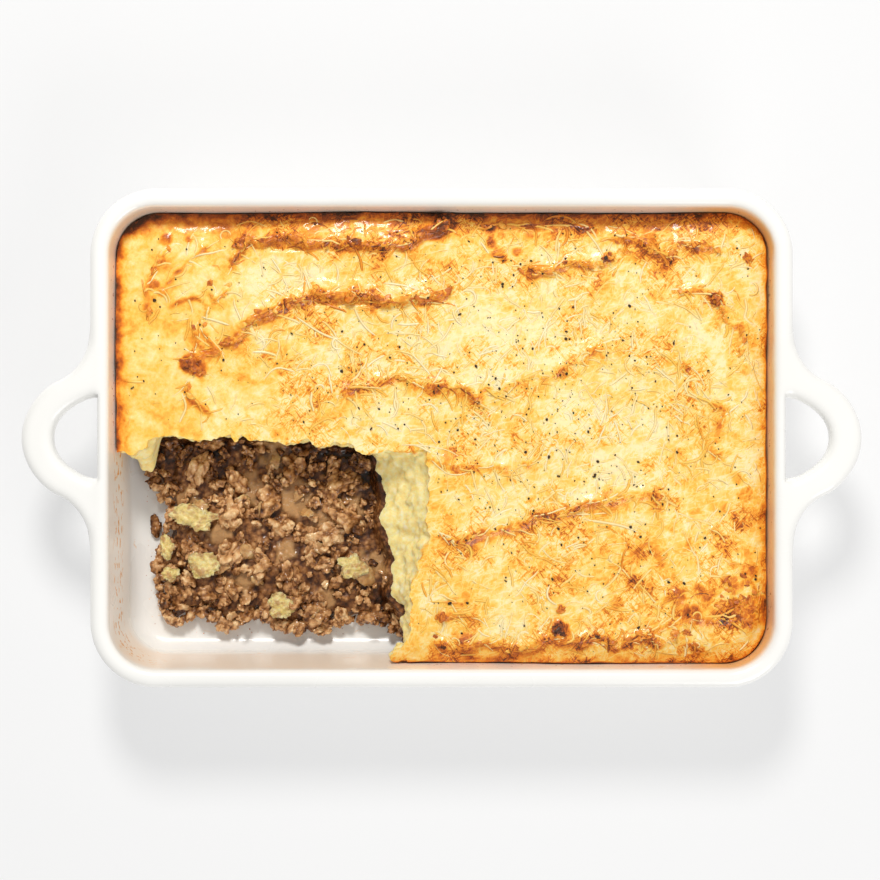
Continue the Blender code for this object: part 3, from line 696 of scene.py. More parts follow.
def mince_look(name, gloss):
    """Cooked mince in kernels, with painted shade in the hollows between them, and pale gravy where the
    value film says.
    """
    look = Look(name, IOR=1.45, Coat_IOR=1.42, Coat_Roughness=0.06, Coat_Weight=gloss,
                Specular_IOR_Level=0.25, Subsurface_Weight=0.05, Subsurface_Scale=0.001,
                Subsurface_Radius=(1.0, 0.45, 0.25))
    grain = look.noise(480.0, 4.0, 0.65)
    level = look.plus(look.value("tone"), grain, 0.55, 0.5)
    level = look.plus(level, look.noise(110.0, 3.0), 0.3, 0.5)
    kernels = look.voronoi(330.0)
    # painted shade: the colour darkens towards the kernels' edges, where the bump makes hollows
    level = look.plus(level, kernels, -0.42, 0.42)
    meat = look.ramp(level, (0.0, (24, 9, 2)), (0.25, (86, 46, 17)), (0.46, (154, 102, 56)),
                     (0.66, (210, 158, 104)), (1.0, (248, 214, 162)))
    film = look.value("film")
    look.set(Base_Color=look.mix(film, meat, (196, 150, 98)))
    look.set(Roughness=look.times(look.between(look.noise(260.0, 3.0), 0.35, 0.65, 0.24, 0.52),
                                  look.between(film, 0.0, 1.0, 1.0, 0.35)))
    wet = look.times(look.noise(190.0, 2.0), film, 3.0)
    look.set(Normal=look.bump(look.math("ADD", look.plus(grain, kernels, -1.2), wet), 0.0005, 0.9))
    return look.material


def onion_look():
    """Soft, half-clear onion stained by gravy."""
    look = Look("soft_onion", IOR=1.42, Coat_IOR=1.4, Coat_Roughness=0.08, Coat_Weight=0.5,
                Subsurface_Weight=0.35, Subsurface_Scale=0.003, Subsurface_Radius=(1.0, 0.75, 0.4))
    grain = look.noise(260.0, 3.0)
    look.set(Base_Color=look.ramp(grain, (0.3, (168, 120, 70)), (0.52, (200, 154, 100)),
                                  (0.75, (230, 200, 140))))
    look.set(Roughness=look.between(grain, 0.3, 0.7, 0.18, 0.34))
    look.set(Normal=look.bump(grain, 0.0004, 0.5))
    return look.material


def potato_look():
    """Plain mash with gravy soaked in."""
    look = Look("plain_mash", IOR=1.42, Coat_IOR=1.4, Coat_Roughness=0.25, Coat_Weight=0.15,
                Subsurface_Weight=0.4, Subsurface_Scale=0.002, Subsurface_Radius=(1.0, 0.7, 0.3))
    grain = look.noise(380.0, 4.0, 0.65)
    colour = look.ramp(grain, (0.25, (198, 168, 92)), (0.5, (226, 204, 132)), (0.75, (246, 234, 180)))
    gravy = look.between(look.noise(230.0, 3.0), 0.47, 0.64, 0.0, 0.75)
    look.set(Base_Color=look.mix(gravy, colour, (176, 126, 76)))
    look.set(Roughness=look.between(grain, 0.3, 0.7, 0.35, 0.6))
    look.set(Normal=look.bump(grain, 0.0007, 0.8))
    return look.material


def floor_look():
    """A matt pale surface, lit a little from itself."""
    look = Look("pale_surface", IOR=1.45, Roughness=0.8, Emission_Strength=0.47,
                Emission_Color=(1.0, 1.0, 1.0, 1.0))
    look.set(Base_Color=look.mix(look.noise(3.0, 2.0), (173, 173, 173), (170, 170, 170)))
    return look.material


# ---------------------------------------------------------------- dish

def arc(centre, radius, start, end, steps):
    """Points on an arc between two angles in degrees."""
    angles = np.radians(np.linspace(start, end, steps + 1))
    return [(centre[0] + radius * math.cos(a), centre[1] + radius * math.sin(a)) for a in angles]


def dish_profile():
    """The dish's section as (inset, z), closed far inside under the floor."""
    foot_inset = RIM_OVERHANG + (DISH_HEIGHT - RIM_DEPTH - FOOT_FILLET) * math.tan(WALL_DRAFT)
    points = arc((foot_inset + FOOT_FILLET, FOOT_FILLET), FOOT_FILLET, 270, 180, 8)
    under = DISH_HEIGHT - RIM_DEPTH
    points += [(RIM_OVERHANG, under)]
    points += arc((RIM_UNDERSIDE, under + RIM_UNDERSIDE), RIM_UNDERSIDE, 270, 180, 6)
    points += arc((RIM_OUTER_EDGE, DISH_HEIGHT - RIM_OUTER_EDGE), RIM_OUTER_EDGE, 180, 90, 12)
    points += arc((RIM_THICKNESS - RIM_INNER_EDGE, DISH_HEIGHT - RIM_INNER_EDGE), RIM_INNER_EDGE, 90, 0, 12)
    floor_z = FLOOR_THICKNESS + FLOOR_FILLET
    points += arc((inner_wall(floor_z) + FLOOR_FILLET, floor_z), FLOOR_FILLET, 180, 270, 12)
    return points + [(FAR_INSIDE, FLOOR_THICKNESS), (FAR_INSIDE, 0.0)]


def polygon_distance(u, v, outline):
    """Signed distance to a closed outline, negative inside it."""
    nearest = np.full(np.shape(u), 1e3)
    for (au, av), (bu, bv) in zip(outline, [*outline[1:], outline[0]]):
        du, dv = bu - au, bv - av
        share = np.clip(((u - au) * du + (v - av) * dv) / (du * du + dv * dv), 0, 1)
        nearest = np.minimum(nearest, (u - au - share * du) ** 2 + (v - av - share * dv) ** 2)
    return np.sqrt(nearest) * np.where(inside_outline(u, v, outline), -1.0, 1.0)


def bezier(points, steps):
    """Points on a curve with four control points."""
    t = np.linspace(0, 1, steps + 1)[:, None]
    weights = ((1 - t) ** 3, 3 * t * (1 - t) ** 2, 3 * t * t * (1 - t), t ** 3)
    return sum(w * np.array(p) for w, p in zip(weights, points))


PROFILE = dish_profile()
HALF_HOLE = bezier(HOLE_EDGE, 16)
HALF_HANDLE = np.concatenate([[(-HANDLE_BURIED, HANDLE_FLARE[0][1] + BURIED_SPREAD)],
                              bezier(HANDLE_FLARE, 12), bezier(HANDLE_NOSE, 16)[1:]])
HOLE = [tuple(p) for p in HALF_HOLE] + [(p[0], -p[1]) for p in HALF_HOLE[::-1][1:]]
HANDLE = [tuple(p) for p in HALF_HANDLE] + [(p[0], -p[1]) for p in HALF_HANDLE[::-1][1:]]


def blend(a, b, size):
    """The smaller of two distances, rounded where they meet."""
    near = np.maximum(size - np.abs(a - b), 0) / size
    return np.minimum(a, b) - near ** 2 * size / 4


def dish_distance(x, y, z):
    """Signed distance to the dish's surface, with its loop handles blended into the rim."""
    body = polygon_distance(inset(x, y), z, PROFILE)
    out = np.abs(x) - RIM_LENGTH / 2
    near = out > -HANDLE_ZONE
    if not near.any():
        return body
    u, v, level = out[near], np.abs(y)[near], z[near]
    hole = polygon_distance(u, v, HOLE)
    plan = np.maximum(polygon_distance(u, v, HANDLE), -hole)
    middle = DISH_HEIGHT - HANDLE_BELOW_RIM - HANDLE_THICKNESS / 2
    side = plan + HANDLE_EDGE
    lift = np.abs(level - middle) - HANDLE_THICKNESS / 2 + HANDLE_EDGE
    corner = np.hypot(np.maximum(side, 0), np.maximum(lift, 0))
    bar = np.minimum(np.maximum(side, lift), 0) + corner - HANDLE_EDGE
    cut = -blend(-body[near], hole, HOLE_BLEND)
    size = 0.0006 + 0.0024 * ease(DISH_HEIGHT - level, 0.001, 0.005)
    body[near] = blend(cut, bar, size)
    return body


def surface_net(axes, distance):
    """Points and four-sided faces of the surface where a field of distances is zero."""
    grid = np.meshgrid(*axes, indexing="ij")
    field = distance(*(a.ravel() for a in grid)).reshape(grid[0].shape)
    inside = field < 0
    counts = np.array(field.shape) - 1
    total = np.zeros((*counts, 3))
    crossings = np.zeros(tuple(counts))
    corners = list(np.ndindex(2, 2, 2))
    for first in corners:
        for axis in range(3):
            if first[axis]:
                continue
            second = list(first)
            second[axis] = 1
            a = field[tuple(slice(c, c + n) for c, n in zip(first, counts))]
            b = field[tuple(slice(c, c + n) for c, n in zip(second, counts))]
            crossed = (a < 0) != (b < 0)
            share = np.where(crossed, a / np.where(crossed, a - b, 1.0), 0.0)
            for other in range(3):
                total[..., other] += np.where(crossed, share if other == axis else first[other], 0.0)
            crossings += crossed
    kept = crossings > 0
    number = np.full(tuple(counts), -1)
    number[kept] = np.arange(kept.sum())
    cell = np.argwhere(kept)
    steps = np.array([a[1] - a[0] for a in axes])
    start = np.array([a[0] for a in axes])
    points = start + (cell + total[kept] / crossings[kept][:, None]) * steps
    faces = []
    for axis in range(3):
        u, v = (axis + 1) % 3, (axis + 2) % 3
        low = [slice(1, n) for n in counts]
        low[axis] = slice(0, counts[axis])
        high = list(low)
        high[axis] = slice(1, counts[axis] + 1)
        a, b = inside[tuple(low)], inside[tuple(high)]
        for starts, flipped in ((a & ~b, False), (~a & b, True)):
            at = np.argwhere(starts)
            offset = np.ones(3, int)
            offset[axis] = 0
            at = at + offset
            quad = []
            for du, dv in ((0, 0), (1, 0), (1, 1), (0, 1)):
                place = at.copy()
                place[:, u] -= du
                place[:, v] -= dv
                quad.append(number[place[:, 0], place[:, 1], place[:, 2]])
            quad = np.column_stack(quad)
            faces.append(quad[:, ::-1] if flipped else quad)
    return points, np.concatenate(faces)


def settle(points, distance):
    """Moves points onto the surface where the distance is zero, in three rounds."""
    for _ in range(3):
        slope = np.column_stack([
            distance(*(points + aside).T) - distance(*(points - aside).T) for aside in SLOPE_STEP * np.eye(3)
        ]) / (2 * SLOPE_STEP)
        away = distance(*points.T)
        points = points - slope * (away / np.maximum(np.einsum("ij,ij->i", slope, slope), 0.25))[:, None]
    return points


def make_dish():
    """The glazed dish as one smooth surface, with what the baking left on it and painted warm light from the
    mash on its inner walls.
    """
    reach = (RIM_LENGTH / 2 + HANDLE_NOSE[-1][0] + DISH_MARGIN, RIM_WIDTH / 2 + DISH_MARGIN)
    axes = [np.linspace(-r, r, 2 * math.ceil(r / DISH_CELL)) for r in reach]
    axes.append(np.arange(DISH_LOWEST, DISH_HEIGHT + DISH_MARGIN, DISH_CELL))
    points, faces = surface_net(axes, dish_distance)
    points = settle(points, dish_distance)
    dish = add_piece("glazed_dish", points, faces)
    reduce = dish.modifiers.new("Reduce", "DECIMATE")
    reduce.ratio = DISH_KEPT
    applied(dish)
    x, y, z = places(dish.data).T
    within = inset(x, y)
    inner = ease(within, 0.0080, 0.0095) * (z > FLOOR_THICKNESS - 0.001)
    served_here = inside_line(x, y, metres(CUT_CREST, 0.005)).astype(float)
    back = ease(y, 0.06, 0.11)
    right = ease(x, 0.10, 0.15)
    left = ease(-x, 0.13, 0.155)
    front = ease(-y, 0.09, 0.11)
    # how tan each inner wall is: partly baked-on grease and partly painted warm light bounced from the mash
    stain_and_bounce = 0.36 * back + 0.85 * right + 0.20 * left * (1 - 0.4 * served_here) + 0.34 * front
    stain_and_bounce = np.clip(stain_and_bounce, 0, 1)
    wall_side = ease(0.0215 - within, 0.0, 0.004)
    dress(dish.data, glaze_look(), {
        "inside": inner, "stain_and_bounce": stain_and_bounce * wall_side, "bare": served_here * left * inner,
        "line": inner * (1 - served_here) * ease(z, 0.044, 0.047) * ease(0.056 - z, 0.0, 0.006) * wall_side,
        "smeared": inner * np.clip(front + served_here * 0.6 + 0.3, 0, 1),
    })
    tie(dish, "ceramic", "baking_dish")


# ---------------------------------------------------------------- mash

rough = Noise(3)
soft = Noise(8)


def over(noise, x, y, size, shift=0.0):
    """Noise over a grid of places in plan, in the grid's own shape."""
    return noise(flat(x, y) + shift, size).reshape(np.shape(x))


def layered(noise, x, y, size, fall, shift=0.0):
    """Three layers of noise over a grid of places, each half the size of the last."""
    return noise.layers(flat(x, y) + shift, size, 3, fall).reshape(np.shape(x))


def fold_fields(x, y):
    """What the folds add to the mash's height and to its browning, with painted shade in front of each
    crest.
    """
    rise = np.zeros(x.shape)
    brown_and_shade = np.zeros(x.shape)
    wobble = over(rough, x, y, 0.006)
    fray = over(rough, x, y, 0.0024, 3.0)
    patchy = over(soft, x, y, 0.009, 1.0)
    for height, width, browning, path in FOLDS:
        line = metres(path)
        low, high = line.min(axis=0) - 0.02, line.max(axis=0) + 0.02
        near = (x > low[0]) & (x < high[0]) & (y > low[1]) & (y < high[1])
        beside_it, along, length = beside(x[near], y[near], line)
        beside_it = beside_it + 0.0009 * wobble[near]
        taper = ease(along, -0.002, 0.004) * ease(length - along, -0.002, 0.004)
        taper = np.where(length < 0.016, np.clip(taper * 1.6, 0, 1), taper)
        strength = taper * np.clip(0.85 + 0.45 * patchy[near], 0.35, 1.3)
        wide = width * MM
        behind = np.exp(-(np.maximum(beside_it, 0) / wide) ** 2)
        before = np.exp(-(np.minimum(beside_it, 0) / (0.55 * wide)) ** 2)
        valley = np.exp(-((beside_it + 1.15 * wide) / (0.8 * wide)) ** 2)
        rise[near] = np.maximum(rise[near], height * MM * strength * behind * before) \
            - 0.22 * height * MM * strength * valley
        crest = np.exp(-(np.abs(beside_it + 0.0004) / (0.0011 + 0.0005 * height)) ** 2.4)
        # the halo is partly browning and partly painted shade: a golden band just in front of the crest, on
        # the side away from the key lamp
        halo = np.exp(-((beside_it + 0.0024) / 0.0056) ** 2)
        rise[near] += crest * strength * 0.00045 * fray[near] * min(height, 2.5)
        broken = np.clip(0.44 + 0.30 * fray[near] + 0.42 * patchy[near] * (1.6 - browning), 0.05, 0.85)
        halo = halo * np.clip(0.8 + 0.7 * wobble[near], 0.2, 1.5)
        tint = browning * strength * (0.88 * crest * broken + 0.34 * halo)
        brown_and_shade[near] = np.maximum(brown_and_shade[near], tint)
    return rise, brown_and_shade


def mash_fields(x, y):
    """Height of the mash's top, how browned it is with painted shade mixed into that, and how much melted
    cheese lies on it.
    """
    z = np.full(x.shape, MASH_TOP)
    for height, wave_x, wave_y, phase in SWELLS:
        z = z + height * np.sin(wave_x * x + wave_y * y + phase)
    bend = over(soft, x, y, 0.024, 5.0)
    z = z + 0.0009 * over(soft, x, y, 0.030, 9.0)
    creases = 1 - np.abs(over(soft, x + 0.006 * bend, y + 0.006 * over(rough, x, y, 0.02, 7.0), 0.012))
    lumps = layered(rough, x, y, 0.0085, 0.5)
    rise, brown_and_shade = fold_fields(x, y)
    z = z + rise
    slope = np.gradient(z, axis=1) / (YS[1] - YS[0])
    z = z + 0.00032 * lumps
    left_strip = ease(-x, 0.118, 0.140) * ease(0.095 - y, 0.0, 0.04)
    bake = 0.21 + 0.10 * layered(soft, x, y, 0.021, 0.6, 2.0)
    bake = bake + 0.10 * (creases ** 3 - 0.55) * (1 - 0.6 * left_strip) + 0.03 * lumps + 0.06 * left_strip
    mottled = np.clip(0.62 + 0.8 * layered(soft, x, y, 0.0075, 0.6, 11.0), 0.1, 1.3)
    for spot_x, spot_y, radius, strength, height in SPOTS:
        gap = np.hypot(x - spot_x * MM, y - spot_y * MM)
        reach = radius * MM * (1 + 0.35 * bend + 0.30 * lumps)
        share = 1 - ease(gap, 0.45 * reach, 1.25 * reach)
        z = z + height * MM * np.exp(-(gap / (0.8 * radius * MM)) ** 2) * (1 + 0.4 * lumps)
        if radius > 8:
            share = share * mottled
        brown_and_shade = np.maximum(brown_and_shade, strength * share) if strength > 0.3 else brown_and_shade + strength * share
    for spot_x, spot_y, radius in PALE_PLACES:
        gap = np.hypot(x - spot_x * MM, y - spot_y * MM)
        bake = bake - 0.10 * np.exp(-(gap / (radius * MM)) ** 2)
    # painted shade: slopes facing the front, away from the key lamp, are baked darker and those facing the
    # back a little paler
    bake = np.clip(bake, 0.02, 0.4) + 0.78 * brown_and_shade + 0.30 * np.clip(slope, -0.15, 0.45)
    bake = np.minimum(bake, 0.60 + 0.25 * np.clip(brown_and_shade - 0.6, 0, 1))
    # painted shadow: the first term bakes the mash darker along the back wall, where the wall shades it
    bake = bake + 0.32 * ease(y, 0.094, 0.106) + 0.06 * ease(-y, 0.02, 0.05)
    gap = wall_gap(x, y)
    roll = np.clip(1 - gap / EDGE_ROLL_WIDTH, 0, 1.5)
    z = z - EDGE_ROLL * roll ** 2
    ragged = over(soft, x, y, 0.010, 4.0)
    reach = (ragged + 1) * 0.5
    burn = 1 - ease(gap, 0.0002 + 0.0010 * reach, 0.0014 + 0.0022 * reach)
    bake = bake + 0.30 * (1 - ease(gap, 0.0, 0.006 + 0.003 * ragged))
    bake = bake + 0.30 * (1 - ease(gap, 0.0, 0.011)) * ease(-x, 0.13, 0.15) * mottled
    cheese = np.clip(0.20 + 1.0 * ease(x, -0.115, -0.06) - 0.4 * left_strip, 0.08, 1.0)
    cheese = np.maximum(cheese, 0.75 * ease(y, 0.03, 0.06) * ease(x, -0.11, -0.08))
    return z, bake, burn, cheese


XS, YS = (np.linspace(-reach, reach, round(2 * reach / MASH_CELL) + 1) for reach in MASH_REACH)
FIELDS = mash_fields(*np.meshgrid(XS, YS, indexing="ij"))


def sample(field, x, y):
    """A field's value at any place, read between the grid's points."""
    i = np.clip((x - XS[0]) / (XS[1] - XS[0]), 0, len(XS) - 1.001)
    j = np.clip((y - YS[0]) / (YS[1] - YS[0]), 0, len(YS) - 1.001)
    i0, j0 = i.astype(int), j.astype(int)
    a, b = i - i0, j - j0
    return ((1 - a) * (1 - b) * field[i0, j0] + a * (1 - b) * field[i0 + 1, j0]
            + (1 - a) * b * field[i0, j0 + 1] + a * b * field[i0 + 1, j0 + 1])


def slab(name, xs, ys, tops, bottom):
    """A closed block whose top is a field of heights and whose bottom is flat."""
    grid_x, grid_y = np.meshgrid(xs, ys, indexing="ij")
    top = flat(grid_x, grid_y, np.ravel(tops))
    index = np.arange(len(top)).reshape(len(xs), len(ys))
    a, b = index[:-1, :-1].ravel(), index[1:, :-1].ravel()
    c, d = index[1:, 1:].ravel(), index[:-1, 1:].ravel()
    faces = [np.column_stack([a, b, c]), np.column_stack([a, c, d])]
    border = np.concatenate([index[:, 0], index[-1, 1:], index[-2::-1, -1], index[0, -2:0:-1]])
    below = top[border]
    below[:, 2] = bottom
    under = len(top) + np.arange(len(border))
    after, under_after = np.roll(border, -1), np.roll(under, -1)
    middle = len(top) + len(border)
    faces.append(np.column_stack([border, under, under_after]))
    faces.append(np.column_stack([border, under_after, after]))
    faces.append(np.column_stack([np.full(len(border), middle), under_after, under]))
    centre = [(0.5 * (xs[0] + xs[-1]), 0.5 * (ys[0] + ys[-1]), bottom)]
    return add_piece(name, np.concatenate([top, below, centre]), np.concatenate(faces))


def hollow(name, clearance, ragged):
    """The dish's hollow, smaller all round, its sides a little uneven."""
    rings = []
    floor_z = FLOOR_THICKNESS + FLOOR_FILLET
    levels = np.linspace(DISH_HEIGHT + ABOVE_RIM, floor_z, HOLLOW_LEVELS)
    heights = [(z, inner_wall(z) + clearance) for z in levels]
    centre = (inner_wall(floor_z) + FLOOR_FILLET, floor_z)
    heights += [(z, away) for away, z in arc(centre, FLOOR_FILLET - clearance, 180, 270, 5)[1:]]
    for z, away in heights:
        ring = []
        corner = RIM_CORNER - away
        half_x, half_y = RIM_LENGTH / 2 - away - corner, RIM_WIDTH / 2 - away - corner
        for sign_x, sign_y, start in ((1, 1, 0.0), (-1, 1, 0.5), (-1, -1, 1.0), (1, -1, 1.5)):
            for angle in math.pi * (start + np.linspace(0, 0.5, 15)):
                ring.append((sign_x * half_x + corner * math.cos(angle),
                             sign_y * half_y + corner * math.sin(angle)))
        ring = np.array(ring + ring[:1])
        ring = resample(ring, HOLLOW_POINTS + 1)[:-1]
        toward = -ring / np.linalg.norm(ring, axis=1)[:, None]
        spot = flat(*ring.T, z)
        wave = soft(spot, 0.008) + 0.5 * rough(spot, 0.003)
        ring = ring + toward * (ragged * np.clip(0.5 + 0.6 * wave, 0, 1.2))[:, None]
        rings.append(flat(*ring.T, z))
    rings.reverse()
    return loft(name, rings)


def mash_cutter():
    """The spoon's ragged cut, as the body of what was taken away."""
    foot = resample(metres(CUT_FOOT), CUT_POINTS)
    crest = resample(metres(CUT_CREST), CUT_POINTS)
    rings = []
    for share in np.linspace(0, 1, CUT_LEVELS):
        z = CUT_LOW + share * (CUT_HIGH - CUT_LOW)
        bow = share + 0.10 * math.sin(math.pi * share)
        line = foot * (1 - bow) + crest * bow
        spot = flat(*line.T, z)
        wave = 0.0017 * soft(spot, 0.0075) + 0.0014 * rough(spot, 0.0036) + 0.0006 * rough(spot, 0.0018)
        line = line + left_of(line) * wave[:, None]
        near_flap = np.exp(-(((line[:, 0] - FLAP_X) / FLAP_HALF_WIDTH) ** 4))
        line[:, 1] -= FLAP_REACH * near_flap * (1 - share) ** 1.3
        rings.append(served_ring(line, z))
    top = rings[-1].copy()
    top[:, 2] = DISH_HEIGHT + 0.01
    return loft("mash_cutter", [*rings, top])


def make_mash():
    """The mash as one block, cut to the dish's hollow and opened at the served corner."""
    mash = slab("mash_crust", XS, YS, FIELDS[0], MASH_BELOW)
    carve(mash, hollow("mash_hollow", MASH_CLEARANCE, MASH_RAGGED), "INTERSECT")
    carve(mash, mash_cutter(), "DIFFERENCE")
    x, y, z = places(mash.data).T
    top, bake, burn, cheese = (sample(field, x, y) for field in FIELDS)
    depth = np.clip(top - z, 0, 0.02)
    gap = wall_gap(x, y, z)
    burn = np.maximum(burn, (1 - ease(gap, 0.0010, 0.0022)) * ease(depth, 0.0, 0.001))
    burn = burn * np.clip(0.75 + 0.6 * soft(flat(x, y), 0.012), 0.3, 1.0)
    dress(mash.data, mash_look(), {"bake": bake, "depth": depth, "burn": burn, "cheese": cheese})
    mash.data.set_sharp_from_angle(angle=math.radians(60))
    tie(mash, "mash", "mash_topping")


def on_mash(x, y, margin):
    """Which places lie on the mash's top, clear of its edges."""
    crest = metres(CUT_CREST, 0.004)
    away = np.abs(beside(x, y, crest)[0])
    return (wall_gap(x, y) > margin) & ~inside_line(x, y, crest) & (away > margin)


def tubes(name, lines, widths, heights, material, values):
    """Flattened threads along lines of equally many points, pinched shut at both ends."""
    sides = 5
    count, length, _ = lines.shape
    run = np.gradient(lines, axis=1)
    run /= np.linalg.norm(run, axis=2)[..., None]
    side = np.cross(run, (0.0, 0.0, 1.0))
    side /= np.linalg.norm(side, axis=2)[..., None]
    up = np.cross(side, run)
    share = np.linspace(0, 1, length)
    pinch = np.clip(np.minimum(share, 1 - share) * 6 + 0.12, 0, 1)[None, :, None]
    rings = []
    for corner in range(sides):
        angle = 2 * math.pi * (corner + 0.25) / sides
        rings.append(lines + pinch * (side * (0.5 * widths[:, None, None] * math.cos(angle))
                                      + up * (0.5 * heights[:, None, None] * math.sin(angle))))
    points = np.stack(rings, axis=2).reshape(-1, 3)
    index = np.arange(count * length * sides).reshape(count, length, sides)
    a, b = index[:, :-1, :], np.roll(index, -1, axis=2)[:, :-1, :]
    c, d = np.roll(index, -1, axis=2)[:, 1:, :], index[:, 1:, :]
    faces = [np.stack([a, b, c], -1).reshape(-1, 3), np.stack([a, c, d], -1).reshape(-1, 3)]
    for end, order in ((0, (0, 2, 1)), (length - 1, (0, 1, 2))):
        for corner in range(1, sides - 1):
            cap = np.stack([index[:, end, 0], index[:, end, corner], index[:, end, corner + 1]], -1)
            faces.append(cap[:, order])
    spread = {key: np.repeat(value.reshape(-1), sides) for key, value in values.items()}
    return add_piece(name, points, np.concatenate(faces), material, spread)


STREWN_MARGIN = 0.003
CLOSE_MARGIN = 0.0015
STRANDS = 1180
STRAND_TRIES = 14000
STRAND_POINTS = 11

# The few threads long enough to place one by one, in millimetres, and how browned they are.
LONG_STRAND_TONE = 0.12
LONG_STRANDS = (
    ((-22, -3.5), (-10, -3.6), (3, -6), (11, -10.8)),
    ((-6.3, -9.5), (2.2, -17), (9, -18), (13.5, -16.5)),
    ((-118, 59.5), (-112, 58), (-104, 55.4)),
    ((-72, 60), (-60, 52), (-50, 48)),
    ((58, -34), (68, -37.5), (84, -36.5)),
    ((70, -40), (88, -43), (97, -46.5)),
)


def fold_strands(random):
    """Starts, headings and tones of threads that lie along the folds."""
    found = []
    for _, _, browning, path in FOLDS:
        line = metres(path, 0.0034)
        run = np.gradient(line, axis=0)
        for (x, y), (run_x, run_y) in zip(line, run):
            pale = random.uniform() < 0.4
            tone = random.uniform(0.08, 0.24) if pale else browning * random.uniform(0.45, 0.72)
            found.append((x - 1.6 * run_x + random.normal(0, 0.0012),
                          y - 1.6 * run_y + random.normal(0, 0.0014),
                          math.atan2(run_y, run_x) + random.normal(0, 0.40), tone))
    return np.array(found).T


def make_strands():
    """Melted threads of grated cheese over the mash."""
    random = np.random.RandomState(21)
    x = random.uniform(XS[0], XS[-1], STRAND_TRIES)
    y = random.uniform(YS[0], YS[-1], STRAND_TRIES)
    wanted = sample(FIELDS[3], x, y) * (0.65 + 0.5 * soft(flat(x, y), 0.022))
    chosen = on_mash(x, y, STREWN_MARGIN) & (random.uniform(size=len(x)) < wanted)
    x, y = x[chosen][:STRANDS], y[chosen][:STRANDS]
    heading = random.uniform(0, math.pi, len(x)) + 0.8 * soft(flat(x, y) + 6.0, 0.035)
    fold_x, fold_y, fold_heading, fold_tone = fold_strands(random)
    tone = np.concatenate([np.full(len(x), -1.0), fold_tone])
    x, y = np.concatenate([x, fold_x]), np.concatenate([y, fold_y])
    heading = np.concatenate([heading, fold_heading])
    count = len(x)
    step = random.uniform(0.0005, 0.0014, count) * random.choice([1.0, 1.0, 1.5], count)
    bend = random.normal(0, 0.10, count) * random.choice([0.6, 1.0, 2.2], count)
    sway = random.normal(0, 0.12, count)
    lines = np.empty((count, STRAND_POINTS, 3))
    here_x, here_y = x.copy(), y.copy()
    for index in range(STRAND_POINTS):
        lines[:, index, 0] = here_x
        lines[:, index, 1] = here_y
        heading = heading + bend + sway * math.sin(index * 0.9)
        here_x = here_x + step * np.cos(heading)
        here_y = here_y + step * np.sin(heading)
    checked = (0, STRAND_POINTS // 2, STRAND_POINTS - 1)
    fits = np.logical_and.reduce([on_mash(*lines[:, index, :2].T, CLOSE_MARGIN) for index in checked])
    lines, tone = lines[fits], tone[fits]
    extra = np.array([flat(*resample(metres(path), STRAND_POINTS).T) for path in LONG_STRANDS])
    lines = np.concatenate([lines, extra])
    count, free = len(lines), len(extra)
    tone = np.concatenate([tone, np.full(free, LONG_STRAND_TONE)])
    share = np.linspace(0, math.pi, STRAND_POINTS)
    ground = sample(FIELDS[0], lines[..., 0], lines[..., 1])
    arch = random.uniform(-0.0001, 0.00010, count)[:, None] * np.sin(share)[None, :]
    level = ground - 0.00004 + arch
    lines[..., 2] = 0.5 * level + 0.25 * (np.roll(level, 1, 1) + np.roll(level, -1, 1))
    lines[:, 0, 2] = ground[:, 0] - 0.0001
    lines[:, -1, 2] = ground[:, -1] - 0.0001
    lines[-free:, :, 2] += 0.0001
    widths = random.uniform(0.0007, 0.0014, count) * np.where(tone > 0.3, 1.2, 1.0)
    heights = widths * random.uniform(0.16, 0.24, count)
    bake = sample(FIELDS[1], lines[..., 0], lines[..., 1])
    tint = bake * random.uniform(0.55, 1.50, count)[:, None] - 0.05 + random.normal(0, 0.05, count)[:, None]
    tint = np.where(tone[:, None] < 0, tint, tone[:, None] + 0.25 * (bake - 0.4))
    values = {"bake": np.clip(tint, 0.0, 0.85)}
    strands = tubes("cheese_strands", lines, widths, heights, cheese_look(), values)
    tie(strands, "crust")


def scatter(name, centres, sizes, level, shape, material, seed, values=None):
    """Lumps of one kind as one piece: every lump is a ball moved by the function shape."""
    random = np.random.RandomState(seed)
    unit, faces = ball(level)
    all_points, all_faces, spread = [], [], {key: [] for key in values or {}}
    for index, (centre, size) in enumerate(zip(centres, sizes)):
        points = shape(unit, size, random)
        points, shade = points if isinstance(points, tuple) else (points, unit[:, 2])
        all_points.append(points + centre)
        all_faces.append(faces + index * len(unit))
        for key, value in (values or {}).items():
            spread[key].append(value(index, unit, shade))
    spread = {key: np.concatenate(value) for key, value in spread.items()}
    return add_piece(name, np.concatenate(all_points), np.concatenate(all_faces), material, spread)


def grain_shape(unit, size, random):
    """An uneven grain, turned any way."""
    points = unit * random.uniform(0.35, 1.2, 3)
    points = points * (1 + 0.35 * Noise(random.randint(1000))(unit + 9.0, 1.1))[:, None]
    return size * points @ turn_matrix(random).T


PEPPER_TRIES = 3600
COARSE_PEPPER = 0.14
COARSE_RADIUS = (0.00050, 0.00090)
FINE_RADIUS = (0.00022, 0.00050)


